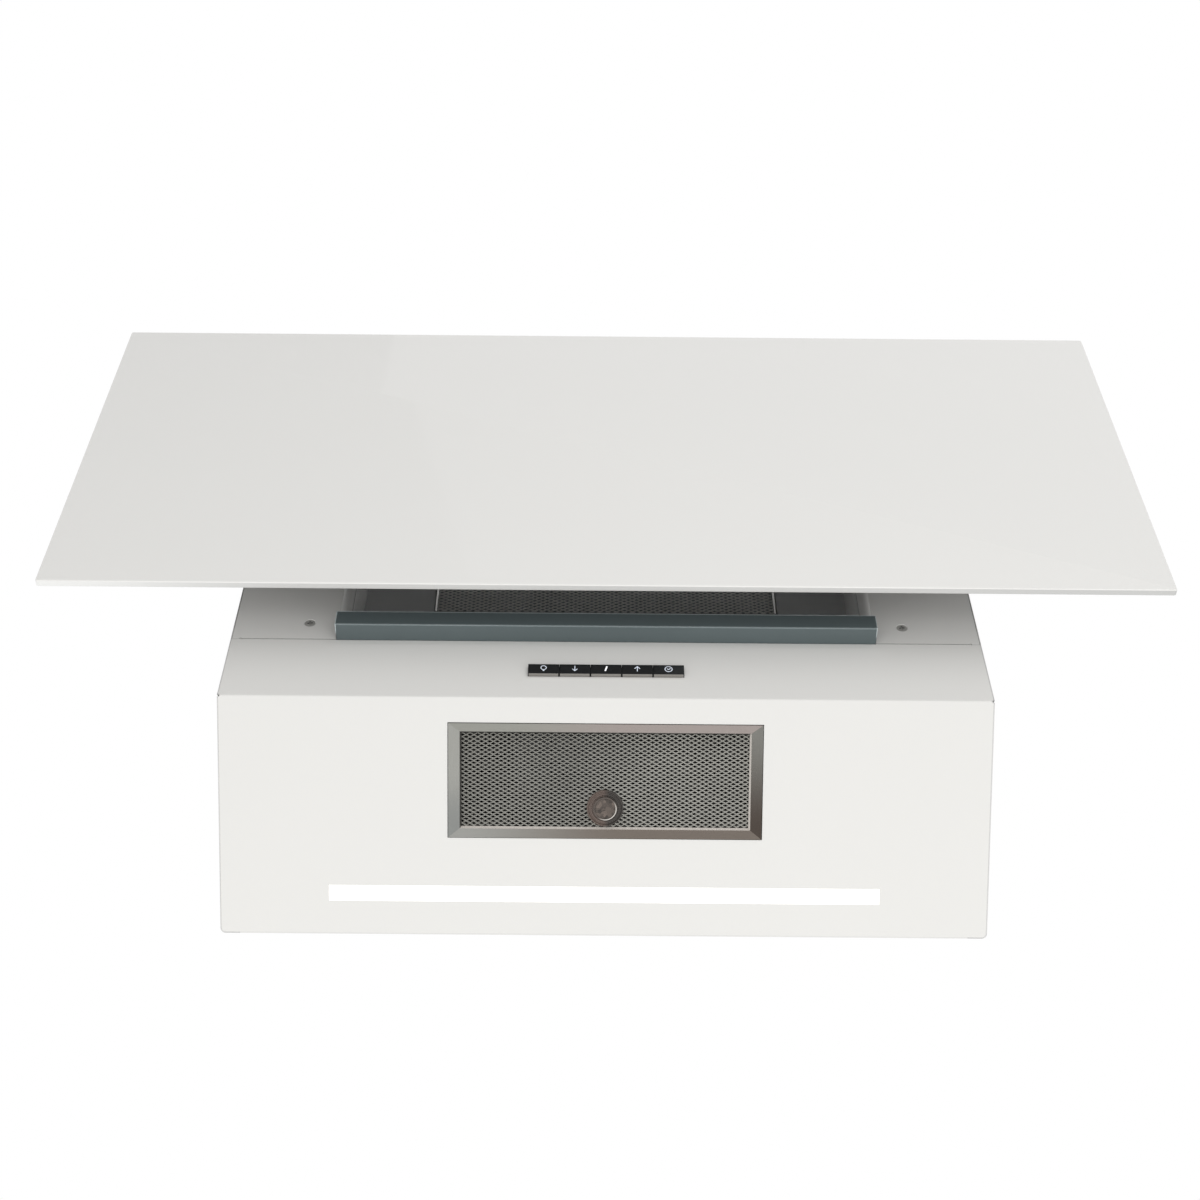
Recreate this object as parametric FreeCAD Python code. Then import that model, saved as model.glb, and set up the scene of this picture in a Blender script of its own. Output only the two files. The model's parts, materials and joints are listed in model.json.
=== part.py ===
"""Wall range hood with a leaning front and a glass door, built as separate solids.

Millimetres. x runs along the wall, y = 0 is the wall and the room is towards -y, and z = 0 is the
bottom face. The front leans outwards by LEAN as it rises. Places on it are given as (x, s, n):
s is measured up along the front from its lower edge, and n straight out of it.
Pieces of one filter are given as (x, t, d): t from its pivot edge to its catch edge, and d straight
out of its face, which lies at d = 0.
"""
import FreeCAD, Part
import math
import os

Vector = FreeCAD.Vector
Rotation = FreeCAD.Rotation
Placement = FreeCAD.Placement

# Steel body
BODY_WIDTH = 598.0
BODY_HEIGHT = 380.0
BOTTOM_DEPTH = 188.0
LEAN = 30.0
SHEET = 0.8
RIM_DEPTH = 14.0
FOLD_RADIUS = 1.6
BACK_BEND_RADIUS = 4.0
LOOSE_GAP = 0.3
OVERRUN = 5.0

# Seam between the lower shell and the upper front panel
SEAM_S = 69.7
SEAM_GAP = 0.5
SEAM_HALF_LENGTH = 291.0
SEAM_END_RADIUS = 1.0
FOLD_RELIEF_RADIUS = 1.1
FOLD_RELIEF_DEPTH = 6.0
JOGGLE_WIDTH = 36.0
JOGGLE_LOW_S = 58.0
JOGGLE_HIGH_S = 104.0

# Front screws, countersunk
SCREW_TO_MOUTH = 32.8
SCREW_S = 91.1
SCREW_HEAD_RADIUS = 4.75
SCREW_SHANK_RADIUS = 2.0
SCREW_LENGTH = 12.0
SCREW_SLOT_LENGTH = 4.6
SCREW_SLOT_WIDTH = 1.1
SCREW_SLOT_DEPTH = 1.5

# Intake recess behind the glass
MOUTH_HALF_WIDTH = 205.6
MOUTH_LOW_S = 86.0
MOUTH_TOP_CLEARANCE = 4.0
MOUTH_DEPTH = 48.0
MOUTH_FLANGE = 8.0

# Drip gutter under the intake
GUTTER_END_MARGIN = 9.4
GUTTER_LOW_S = 69.2
GUTTER_HEIGHT = 16.6
GUTTER_DEPTH = 16.2
GUTTER_WALL = 1.2

# Half-round trims beside the intake
TRIM_WIDTH = 10.2
TRIM_HEIGHT = 3.4
TRIM_WALL = 0.8

# Glass door
GLASS_WIDTH = 900.0
GLASS_LENGTH = 394.6
GLASS_THICKNESS = 6.0
GLASS_LOW_S = 81.7
GLASS_STANDOFF = 41.5
GLASS_CORNER_RADIUS = 2.0
GLASS_EDGE_BEVEL = 0.6

# Arms bonded to the glass
ARM_TO_TRIM = 1.2
ARM_WIDTH = 10.0
ARM_LOW_S = 205.0
ARM_CLEARANCE = 4.0
ARM_WALL = 1.2
MAGNET_RADIUS = 4.2
MAGNET_S = 218.0
MAGNET_GAP = 0.4

# Hinges of the glass door
HINGE_TOP_MARGIN = 10.8
HINGE_N = 22.0
ARM_PAST_HINGE = 9.5
HINGE_PIN_RADIUS = 2.5
HINGE_PIN_HEAD_RADIUS = 4.0
HINGE_PIN_HEAD = 1.6
HINGE_EAR = 2.0
HINGE_EAR_RADIUS = 9.0
HINGE_SIDE_GAP = 0.7
HINGE_BASE = 1.5
HINGE_BASE_MARGIN = 6.0
RUNNING_FIT = 0.05

# Grease filters
BOTTOM_FILTER_WIDTH = 242.8
BOTTOM_FILTER_LENGTH = 89.9
BOTTOM_FILTER_FRONT_Y = -167.7
FRONT_FILTER_WIDTH = 292.0
FRONT_FILTER_LENGTH = 228.0
FRONT_FILTER_TOP_LEDGE = 8.3
FILTER_DEPTH = 9.5
FILTER_SHEET = 0.8
BOTTOM_FILTER_SIDE_RAIL = 9.5
BOTTOM_FILTER_END_RAIL = 8.0
FRONT_FILTER_SIDE_RAIL = 3.0
FRONT_FILTER_END_RAIL = 3.0
FILTER_ROLL = 4.0
FILTER_CORNER = 1.2
FILTER_PROUD = 0.5
FILTER_FIT = 0.5
FILTER_PIN_RADIUS = 1.5
FILTER_PIN_LENGTH = 4.4
MESH_RECESS = 3.5
MESH_THICKNESS = 0.8
MESH_STRAND = 3.0
BOTTOM_MESH_PITCH_X = 18.0
BOTTOM_MESH_PITCH_T = 11.0
FRONT_MESH_PITCH_X = 28.0
FRONT_MESH_PITCH_T = 18.0
HANGER_THICKNESS = 1.2
HANGER_LENGTH = 14.0
HANGER_FOOT = 9.0
HANGER_FOOT_THICKNESS = 1.0

# Sliding catch of a filter
CATCH_SETBACK = 23.5
CATCH_PLATE_RADIUS = 14.25
CATCH_PLATE_RIM = 2.0
CATCH_PLATE_FACE = -2.0
CATCH_PLATE_PROUD = -0.8
CATCH_BUTTON_RADIUS = 9.3
CATCH_BUTTON_LOW = -1.4
CATCH_BUTTON_HIGH = 1.0
CATCH_BUTTON_HOLLOW = 1.0
CATCH_BUTTON_LIP = 1.3
CATCH_STEM_RADIUS = 3.0
CATCH_TRAVEL = 3.0
CATCH_TONGUE_WIDTH = 12.0
CATCH_TONGUE_TOP = -4.9
CATCH_TONGUE_THICKNESS = 1.0
CATCH_TONGUE_TAIL = 8.0
CATCH_SLOT_FIT = 0.4
KEEPER_HEIGHT = 8.0

# Row of five keys
KEY_COUNT = 5
KEY_PITCH = 24.4
KEY_GAP = 0.8
KEY_LOW_S = 26.0
KEY_HEIGHT = 11.5
KEY_PROUD = 3.3
KEY_HEAD_DEPTH = 0.4
KEY_TRAVEL = 0.8
KEY_SLOT_FIT = 0.4
KEY_STEM_WIDTH = 17.0
KEY_STEM_HEIGHT = 7.0
KEY_STEM_FIT = 0.25
KEY_EDGE = 0.5
KEY_DISH = 0.25
KEY_DISH_MARGIN = 2.0
BEZEL_MARGIN = 5.0
BEZEL_SPACER = 0.8
BEZEL_THICKNESS = 1.8
BOARD_THICKNESS = 1.6
SWITCH_SIDE = 6.0
SWITCH_HEIGHT = 1.8
SWITCH_GAP = 0.3
BEZEL_POST = 3.0

# Light bar
LIGHT_HALF_LENGTH = 214.0
LIGHT_FRONT_Y = -38.7
LIGHT_WIDTH = 12.1
LIGHT_FLANGE = 3.0
LIGHT_FLANGE_THICKNESS = 1.5
LIGHT_SLOT_FIT = 0.2
LIGHT_HOUSING_HEIGHT = 12.0
LIGHT_HOUSING_WALL = 1.0
LIGHT_BOARD_MARGIN = 6.0
LIGHT_BOARD_THICKNESS = 1.6
LED_COUNT = 24
LED_SIDE = 3.0
LED_HEIGHT = 0.8

# Blower, turning about a line along x
BLOWER_Y = -125.0
BLOWER_RISE = 110.0
SCROLL_START_RADIUS = 76.0
SCROLL_END_RADIUS = 104.0
SCROLL_START_ANGLE = 100.0
SCROLL_POINTS = 14
BLOWER_WALL = 2.0
BLOWER_HALF_WIDTH = 75.0
ADAPTER_HEIGHT = 54.2
BLOWER_EDGE_ROUND = 3.0
INLET_RADIUS = 66.0
INLET_THROAT_RADIUS = 58.0
INLET_DEPTH = 13.0
IMPELLER_RADIUS = 68.0
IMPELLER_INNER_RADIUS = 56.0
IMPELLER_HALF_WIDTH = 58.0
IMPELLER_RING = 2.0
IMPELLER_RING_WIDTH = 7.0
IMPELLER_DISC = 2.4
IMPELLER_HUB_RADIUS = 10.0
IMPELLER_HUB_HALF = 9.0
BLADE_COUNT = 36
BLADE_THICKNESS = 1.0
BLADE_SWEEP = 9.0
BLADE_BULGE = 2.6
SHAFT_RADIUS = 4.0
SHAFT_START_X = -80.0
SHAFT_END_X = 12.0
MOTOR_RADIUS = 42.0
MOTOR_START_X = -66.0
MOTOR_END_X = -13.0
MOTOR_ROUND = 6.0
MOTOR_BAND = 1.5
MOTOR_BAND_HALF = 14.0
BRACKET_THICKNESS = 3.0
BRACKET_RING_WIDTH = 7.0
BRACKET_ARM_WIDTH = 9.0
BRACKET_ARMS = 3
BRACKET_BOSS_RADIUS = 18.0
BUFFER_RADIUS = 8.0
BUFFER_X = 50.0
BUFFER_LOW_RISE = 21.0
BUFFER_HIGH_RISE = 89.0

# Outlet
OUTLET_Y = -110.0
COLLAR_RADIUS = 74.5
COLLAR_WALL = 2.0
COLLAR_HEIGHT = 45.0
COLLAR_FLANGE = 15.0
COLLAR_FLANGE_THICKNESS = 2.5
COLLAR_LEDGE = 2.5
COLLAR_LEDGE_THICKNESS = 2.4
COLLAR_BEAD = 0.9
COLLAR_SCREW_RADIUS = 1.9
COLLAR_SCREW_FIT = 0.2
COLLAR_SCREW_HEAD_RADIUS = 3.6
COLLAR_SCREW_HEAD = 2.2
COLLAR_SCREW_DEPTH = 6.0
COLLAR_SCREWS = 4
FLAP_HEIGHT = 10.0
FLAP_THICKNESS = 1.5
FLAP_RIM_GAP = 0.7
FLAP_LEDGE_GAP = 0.3
FLAP_PIN_RADIUS = 2.0
FLAP_KNUCKLE_RADIUS = 3.6
FLAP_EDGE_GAP = 4.2
FLAP_KNUCKLE_LENGTH = 18.0
FLAP_KNUCKLE_GAP = 0.6
FLAP_FIRST_KNUCKLE_X = 8.0

# Electrics
BOX_LENGTH = 110.0
BOX_WIDTH = 100.0
BOX_HEIGHT = 46.0
BOX_WALL = 2.0
BOX_ROUND = 4.0
BOX_LOW_Z = 70.0
BOX_BACK_Y = -50.0
LID_THICKNESS = 2.5
CAPACITOR_RADIUS = 17.0
CAPACITOR_LENGTH = 62.0
CAPACITOR_STUD_RADIUS = 4.0
CAPACITOR_STUD = 3.0
CAPACITOR_ROUND = 2.0
CAPACITOR_Y = -100.0
CAPACITOR_Z = 90.0
GLAND_X = 210.0
GLAND_Y = -60.0
GLAND_HEX = 12.0
GLAND_HEX_HEIGHT = 5.0
GLAND_DOME_RADIUS = 9.5
GLAND_DOME_HEIGHT = 13.0
GLAND_DOME_TOP_RADIUS = 6.5
GLAND_BORE = 4.2
GLAND_THREAD_RADIUS = 8.0
GLAND_THREAD = 9.0

# Wall fixing
FIXING_X = 230.0
FIXING_LOW_Z = 60.0
FIXING_TOP_MARGIN = 50.0
FIXING_RADIUS = 4.0
FIXING_PLATE = 60.0
FIXING_PLATE_THICKNESS = 1.5
RIB_HALF_WIDTH = 9.0
RIB_DEPTH = 4.0
RIB_X = 130.0
RIB_LOW_Z = 50.0
RIB_TOP_MARGIN = 40.0

COS = math.cos(math.radians(LEAN))
SIN = math.sin(math.radians(LEAN))
TAN = SIN / COS
HALF = BODY_WIDTH / 2
INSIDE = HALF - SHEET
FACE_LENGTH = BODY_HEIGHT / COS
MOUTH_HIGH_S = (BODY_HEIGHT - SHEET - MOUTH_TOP_CLEARANCE - (MOUTH_DEPTH + SHEET) * SIN) / COS - SHEET
SCREW_X = MOUTH_HALF_WIDTH + SCREW_TO_MOUTH
GUTTER_HALF_LENGTH = MOUTH_HALF_WIDTH + GUTTER_END_MARGIN
ARM_INNER_X = MOUTH_HALF_WIDTH + TRIM_WIDTH + ARM_TO_TRIM
HINGE_S = FACE_LENGTH - HINGE_TOP_MARGIN
FRONT_FILTER_LOW_S = MOUTH_HIGH_S - FRONT_FILTER_TOP_LEDGE - FRONT_FILTER_LENGTH
BLOWER_TOP_Z = BODY_HEIGHT - SHEET - ADAPTER_HEIGHT
BLOWER_Z = BLOWER_TOP_Z - BLOWER_RISE
BUFFER_HEIGHTS = (BLOWER_Z + BUFFER_LOW_RISE, BLOWER_Z + BUFFER_HIGH_RISE)
FIXING_HIGH_Z = BODY_HEIGHT - FIXING_TOP_MARGIN
RIB_HIGH_Z = BODY_HEIGHT - RIB_TOP_MARGIN
X_AXIS = Vector(1, 0, 0)
Y_AXIS = Vector(0, 1, 0)
Z_AXIS = Vector(0, 0, 1)
ON_FACE = Placement(Vector(0, -BOTTOM_DEPTH, 0), Rotation(X_AXIS, 90 + LEAN))
KEY_MID_S = KEY_LOW_S + KEY_HEIGHT / 2
LIGHT_MID_Y = LIGHT_FRONT_Y + LIGHT_WIDTH / 2


def block(x0, x1, y0, y1, z0, z1):
    """A box between two corners."""
    return Part.makeBox(x1 - x0, y1 - y0, z1 - z0, Vector(x0, y0, z0))


def wide_block(half, y0, y1, z0, z1):
    """A box that reaches as far to the left as to the right."""
    return block(-half, half, y0, y1, z0, z1)


def placed(shape, place):
    """The shape, put where the placement says."""
    copy = shape.copy()
    copy.Placement = place.multiply(copy.Placement)
    return copy


def on_face(shape):
    """A shape given in (x, s, n), put on the leaning front."""
    return placed(shape, ON_FACE)


def rod_x(radius, x0, x1, y, z):
    """A cylinder along x."""
    return Part.makeCylinder(radius, x1 - x0, Vector(x0, y, z), X_AXIS)


def rod_z(radius, z0, z1, x, y):
    """A cylinder along z."""
    return Part.makeCylinder(radius, z1 - z0, Vector(x, y, z0), Z_AXIS)


def prism_x(points, x0, x1):
    """A closed outline of (y, z) points, extruded along x."""
    corners = [Vector(x0, y, z) for y, z in points]
    return Part.Face(Part.makePolygon(corners + corners[:1])).extrude(Vector(x1 - x0, 0, 0))


def rounded(shape, radius, chosen):
    """The shape with the edges rounded whose middle passes the test."""
    edges = [e for e in shape.Edges if chosen(e.CenterOfMass)]
    return shape.makeFillet(radius, edges)


def near(a, b):
    """Whether two lengths are the same, within a small part of the sheet."""
    return abs(a - b) < SHEET / 100


def mirrored(shape):
    """The same piece on the other side of the middle plane."""
    return shape.mirror(Vector(0, 0, 0), X_AXIS)


def fused(shapes):
    """Several touching shapes as one clean solid."""
    whole = shapes[0].multiFuse(shapes[1:]) if len(shapes) > 1 else shapes[0]
    return whole.removeSplitter()


def section(inset, back):
    """The side outline as (y, z) points, drawn in by inset and at the wall by back."""
    low = (-BOTTOM_DEPTH - inset * TAN + inset / COS, inset)
    high = (-BOTTOM_DEPTH - (BODY_HEIGHT - inset) * TAN + inset / COS, BODY_HEIGHT - inset)
    return [(-back, inset), low, high, (-back, BODY_HEIGHT - inset)]


def front_line(n, z):
    """The y of the plane that lies n out from the front, at height z."""
    return -BOTTOM_DEPTH - z * TAN - n / COS


def side_panel():
    """The left side: a plate with a return flange on every edge, wrapped round to the back."""
    plate = prism_x(section(0, 0), -HALF, -INSIDE)
    rim_end = -INSIDE + RIM_DEPTH
    rim = prism_x(section(SHEET, 0), -INSIDE, rim_end)
    rim = rim.cut(prism_x(section(2 * SHEET, SHEET), -INSIDE, rim_end))
    back = block(-INSIDE, rim_end, -SHEET, 0, 0, BODY_HEIGHT)
    panel = fused([plate, rim, back, bend_corner(-INSIDE, -SHEET, BACK_BEND_RADIUS - SHEET)])
    panel = panel.cut(bend_corner(-HALF, 0, BACK_BEND_RADIUS)).removeSplitter()
    return panel.cut(fold_relief(-1))


def bend_corner(x, y, radius):
    """The upright sliver between a square corner at the left of the wall side and its bend."""
    square = block(x, x + radius, y - radius, y, 0, BODY_HEIGHT)
    return square.cut(rod_z(radius, -OVERRUN, BODY_HEIGHT + OVERRUN, x + radius, y - radius))


def fold_relief(side):
    """A cutter for the small hole at one end of the fold, square to it from below and in front."""
    inwards = Vector(0, COS, 1 + SIN).normalize()
    start = Vector(side * INSIDE, -BOTTOM_DEPTH, 0) - inwards * FOLD_RELIEF_DEPTH
    return Part.makeCylinder(FOLD_RELIEF_RADIUS, 2 * FOLD_RELIEF_DEPTH, start, inwards)


def seam_ends():
    """Cutters for the small round holes in which the seam ends on both sides."""
    middle = SEAM_S + SEAM_GAP / 2
    hole = rod_z(SEAM_END_RADIUS, -SHEET, OVERRUN, SEAM_HALF_LENGTH, middle)
    return on_face(hole.fuse(mirrored(hole)))


def countersink(s):
    """A cutter for one front screw, in (x, s, n)."""
    cone = Part.makeCone(SCREW_SHANK_RADIUS, SCREW_HEAD_RADIUS, SCREW_HEAD_RADIUS - SCREW_SHANK_RADIUS,
                         Vector(SCREW_X, s, SCREW_SHANK_RADIUS - SCREW_HEAD_RADIUS), Z_AXIS)
    shank = rod_z(SCREW_SHANK_RADIUS, -SCREW_LENGTH, 0, SCREW_X, s)
    return cone.fuse(shank)


def lower_shell():
    """Bottom and lower front in one folded sheet, with the openings for filter, light and keys."""
    inner = section(SHEET, SHEET)
    seam_outer = (front_line(0, SEAM_S * COS), SEAM_S * COS)
    seam_inner = (seam_outer[0] + SHEET * COS, seam_outer[1] + SHEET * SIN)
    outline = [(-SHEET, 0), (-BOTTOM_DEPTH, 0), seam_outer, seam_inner, inner[1], (-SHEET, SHEET)]
    shell = prism_x(outline, -INSIDE, INSIDE)
    shell = rounded(shell, FOLD_RADIUS, lambda c: near(c.y, -BOTTOM_DEPTH) and near(c.z, 0))
    shell = rounded(shell, FOLD_RADIUS - SHEET, lambda c: near(c.y, inner[1][0]) and near(c.z, SHEET))
    bend = BACK_BEND_RADIUS - SHEET
    shell = rounded(shell, bend,
                    lambda c: near(abs(c.x), INSIDE) and near(c.y, -SHEET) and near(c.z, SHEET / 2))
    shell = shell.cut(filter_opening(bottom_filter_place(), BOTTOM_FILTER_WIDTH, BOTTOM_FILTER_LENGTH))
    keeper_y = BOTTOM_FILTER_FRONT_Y + BOTTOM_FILTER_LENGTH + FILTER_FIT
    keeper_half = CATCH_TONGUE_WIDTH
    keeper = block(-keeper_half, keeper_half, keeper_y, keeper_y + SHEET, 0, SHEET + KEEPER_HEIGHT)
    light = wide_block(LIGHT_HALF_LENGTH + LIGHT_SLOT_FIT, LIGHT_FRONT_Y - LIGHT_SLOT_FIT,
                       LIGHT_FRONT_Y + LIGHT_WIDTH + LIGHT_SLOT_FIT, -OVERRUN, OVERRUN)
    keys_half = KEY_COUNT * KEY_PITCH / 2 - KEY_GAP / 2 + KEY_SLOT_FIT
    keys = on_face(wide_block(keys_half, KEY_LOW_S - KEY_SLOT_FIT, KEY_LOW_S + KEY_HEIGHT + KEY_SLOT_FIT,
                              -OVERRUN, OVERRUN))
    tabs = []
    for side in (-1, 1):
        mid = side * SCREW_X
        reach = JOGGLE_WIDTH / 2
        tab = block(mid - reach, mid + reach, JOGGLE_LOW_S, JOGGLE_HIGH_S, -2 * SHEET, -SHEET)
        tabs.append(on_face(tab))
    shell = fused([shell.cut(light).cut(keys), keeper] + tabs)
    return shell.cut(screw_holes()).cut(seam_ends()).cut(fold_relief(-1)).cut(fold_relief(1))


def screw_holes():
    """The two countersunk holes in the front."""
    one = countersink(SCREW_S)
    return on_face(one.fuse(mirrored(one)))


def upper_front_panel():
    """The sheet from the seam to the top, with the mouth of the intake."""
    top = BODY_HEIGHT - SHEET
    start = SEAM_S + SEAM_GAP
    low_outer = (front_line(0, start * COS), start * COS)
    low_inner = (low_outer[0] + SHEET * COS, low_outer[1] + SHEET * SIN)
    outline = [low_outer, (front_line(0, top), top), (front_line(-SHEET, top), top), low_inner]
    panel = prism_x(outline, -INSIDE, INSIDE)
    ends = [on_face(block(x0, x1, SEAM_S, start, -SHEET, 0))
            for x0, x1 in ((-INSIDE, -SEAM_HALF_LENGTH), (SEAM_HALF_LENGTH, INSIDE))]
    mouth = on_face(wide_block(MOUTH_HALF_WIDTH, MOUTH_LOW_S, MOUTH_HIGH_S, -OVERRUN, OVERRUN))
    return fused([panel] + ends).cut(mouth).cut(screw_holes()).cut(seam_ends())


def front_screws():
    """Two countersunk screws with a cross slot."""
    screw = countersink(SCREW_S)
    for length, width in ((SCREW_SLOT_LENGTH, SCREW_SLOT_WIDTH), (SCREW_SLOT_WIDTH, SCREW_SLOT_LENGTH)):
        screw = screw.cut(block(SCREW_X - length / 2, SCREW_X + length / 2, SCREW_S - width / 2,
                                SCREW_S + width / 2, -SCREW_SLOT_DEPTH, 0))
    return on_face(Part.makeCompound([screw, mirrored(screw)]))


def intake_surround():
    """Four walls that lead from the mouth back to the filter wall, with a flange behind the front."""
    half = MOUTH_HALF_WIDTH + SHEET
    low = MOUTH_LOW_S - SHEET
    high = MOUTH_HIGH_S + SHEET
    walls = wide_block(half, low, high, -MOUTH_DEPTH, -SHEET)
    flange = wide_block(half + MOUTH_FLANGE, low - MOUTH_FLANGE, high + MOUTH_FLANGE, -2 * SHEET, -SHEET)
    hollow = wide_block(MOUTH_HALF_WIDTH, MOUTH_LOW_S, MOUTH_HIGH_S, -MOUTH_DEPTH - OVERRUN, OVERRUN)
    return on_face(walls.fuse(flange).cut(hollow).removeSplitter())


def filter_wall():
    """The black plate at the back of the recess, with the opening for the front filter."""
    plate = on_face(wide_block(MOUTH_HALF_WIDTH + SHEET, MOUTH_LOW_S - SHEET, MOUTH_HIGH_S + SHEET,
                               -MOUTH_DEPTH - SHEET, -MOUTH_DEPTH))
    keeper_s = FRONT_FILTER_LOW_S + FRONT_FILTER_LENGTH + FILTER_FIT
    keeper = on_face(wide_block(CATCH_TONGUE_WIDTH, keeper_s, keeper_s + SHEET,
                                -MOUTH_DEPTH - SHEET - KEEPER_HEIGHT, -MOUTH_DEPTH))
    opening = filter_opening(front_filter_place(), FRONT_FILTER_WIDTH, FRONT_FILTER_LENGTH)
    return fused([plate.cut(opening), keeper])


def back_panel():
    """The wall side: a plate with two pressed ribs and the holes of the wall fixing."""
    half = INSIDE - RIM_DEPTH - LOOSE_GAP
    plate = wide_block(half, -SHEET, 0, 0, BODY_HEIGHT)
    ribs = []
    for side in (-1, 1):
        mid = side * RIB_X
        outer = rib(mid, RIB_HALF_WIDTH, RIB_DEPTH + SHEET, 0)
        inner = rib(mid, RIB_HALF_WIDTH - SHEET, RIB_DEPTH, SHEET)
        ribs.append((outer, inner))
    for outer, inner in ribs:
        plate = plate.fuse(outer).cut(inner)
    return plate.cut(fixing_holes()).removeSplitter()


def rib(mid, half, depth, shorter):
    """A pressed rib, deepest along its middle, from the wall plane inwards."""
    slope = half / 2
    points = [(mid - half, 0), (mid + half, 0), (mid + slope, -depth), (mid - slope, -depth)]
    low = RIB_LOW_Z + shorter
    corners = [Vector(x, y, low) for x, y in points]
    face = Part.Face(Part.makePolygon(corners + corners[:1]))
    return face.extrude(Vector(0, 0, RIB_HIGH_Z - shorter - low))


def fixing_holes():
    """The four round holes that take the wall screws."""
    depth = SHEET + FIXING_PLATE_THICKNESS + OVERRUN
    return Part.makeCompound([
        Part.makeCylinder(FIXING_RADIUS, depth + OVERRUN, Vector(x, -depth, z), Y_AXIS)
        for x in (-FIXING_X, FIXING_X) for z in (FIXING_LOW_Z, FIXING_HIGH_Z)])


def wall_bracket(z):
    """The thicker plates behind the back panel at one height of fixing, one on each side."""
    plates = []
    for side in (-1, 1):
        mid = side * FIXING_X
        reach = FIXING_PLATE / 2
        inner_y = -SHEET - FIXING_PLATE_THICKNESS
        plate = block(mid - reach, mid + reach, inner_y, -SHEET, z - reach, z + reach)
        plates.append(plate.cut(fixing_holes()))
    return Part.makeCompound(plates)


def top_panel():
    """The top, with the hole of the outlet and of the cable gland."""
    outline = [(-SHEET, BODY_HEIGHT - SHEET), (front_line(0, BODY_HEIGHT - SHEET), BODY_HEIGHT - SHEET),
               (front_line(0, BODY_HEIGHT), BODY_HEIGHT), (-SHEET, BODY_HEIGHT)]
    panel = prism_x(outline, -INSIDE, INSIDE)
    bend = BACK_BEND_RADIUS - SHEET
    mid_z = BODY_HEIGHT - SHEET / 2
    panel = rounded(panel, bend, lambda c: near(abs(c.x), INSIDE) and near(c.y, -SHEET) and near(c.z, mid_z))
    low = BODY_HEIGHT - OVERRUN
    high = BODY_HEIGHT + OVERRUN
    panel = panel.cut(rod_z(COLLAR_RADIUS - COLLAR_WALL, low, high, 0, OUTLET_Y))
    panel = panel.cut(rod_z(GLAND_THREAD_RADIUS + LOOSE_GAP, low, high, GLAND_X, GLAND_Y))
    return panel.cut(collar_screw_holes())


def drip_gutter():
    """The open trough that catches what runs out of the recess."""
    outer = wide_block(GUTTER_HALF_LENGTH, GUTTER_LOW_S, GUTTER_LOW_S + GUTTER_HEIGHT, 0, GUTTER_DEPTH)
    hollow = wide_block(GUTTER_HALF_LENGTH - GUTTER_WALL, GUTTER_LOW_S + GUTTER_WALL,
                        GUTTER_LOW_S + GUTTER_HEIGHT + OVERRUN, GUTTER_WALL, GUTTER_DEPTH - GUTTER_WALL)
    outer = rounded(outer, GUTTER_WALL / 2, lambda c: near(c.y, GUTTER_LOW_S) and near(c.z, GUTTER_DEPTH))
    return on_face(outer.cut(hollow))


def mouth_trim():
    """The left trim: a half-round strip on the front beside the mouth, open towards the sheet."""
    low = GUTTER_LOW_S + GUTTER_HEIGHT + LOOSE_GAP
    length = Vector(0, MOUTH_HIGH_S - low, 0)
    start = Vector(-MOUTH_HALF_WIDTH - TRIM_WIDTH, low, 0)
    outer = trim_outline(start, TRIM_WIDTH, TRIM_HEIGHT)
    wall = Vector(TRIM_WALL, 0, 0)
    inner = trim_outline(start + wall, TRIM_WIDTH - 2 * TRIM_WALL, TRIM_HEIGHT - TRIM_WALL)
    return on_face(outer.extrude(length).cut(inner.extrude(length)))


def trim_outline(start, width, height):
    """A low arch over a straight foot."""
    end = start + Vector(width, 0, 0)
    crown = start + Vector(width / 2, 0, height)
    arch = Part.Arc(start, crown, end).toShape()
    return Part.Face(Part.Wire([arch, Part.makeLine(end, start)]))


def glass_panel():
    """The door's glass plate with ground edges."""
    plate = wide_block(GLASS_WIDTH / 2, GLASS_LOW_S, GLASS_LOW_S + GLASS_LENGTH, GLASS_STANDOFF,
                       GLASS_STANDOFF + GLASS_THICKNESS)
    mid_n = GLASS_STANDOFF + GLASS_THICKNESS / 2
    plate = rounded(plate, GLASS_CORNER_RADIUS,
                    lambda c: near(c.z, mid_n) and near(abs(c.x), GLASS_WIDTH / 2))
    rims = [e for e in plate.Edges if not near(e.CenterOfMass.z, mid_n)]
    return on_face(plate.makeChamfer(GLASS_EDGE_BEVEL, rims))


def glass_arm():
    """The left arm: a closed steel box section from the glass to just off the front."""
    x0 = -ARM_INNER_X - ARM_WIDTH
    x1 = -ARM_INNER_X
    high = HINGE_S + ARM_PAST_HINGE
    arm = block(x0, x1, ARM_LOW_S, high, ARM_CLEARANCE, GLASS_STANDOFF)
    hollow = block(x0 + ARM_WALL, x1 - ARM_WALL, ARM_LOW_S + ARM_WALL, high + OVERRUN,
                   ARM_CLEARANCE + ARM_WALL, GLASS_STANDOFF - ARM_WALL)
    arm = rounded(arm, ARM_WALL / 2, lambda c: near(c.z, ARM_CLEARANCE) and not near(c.y, high))
    hole = rod_x(HINGE_PIN_RADIUS + RUNNING_FIT, x0 - OVERRUN, x1 + OVERRUN, HINGE_S, HINGE_N)
    return on_face(arm.cut(hollow).cut(hole))


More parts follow.
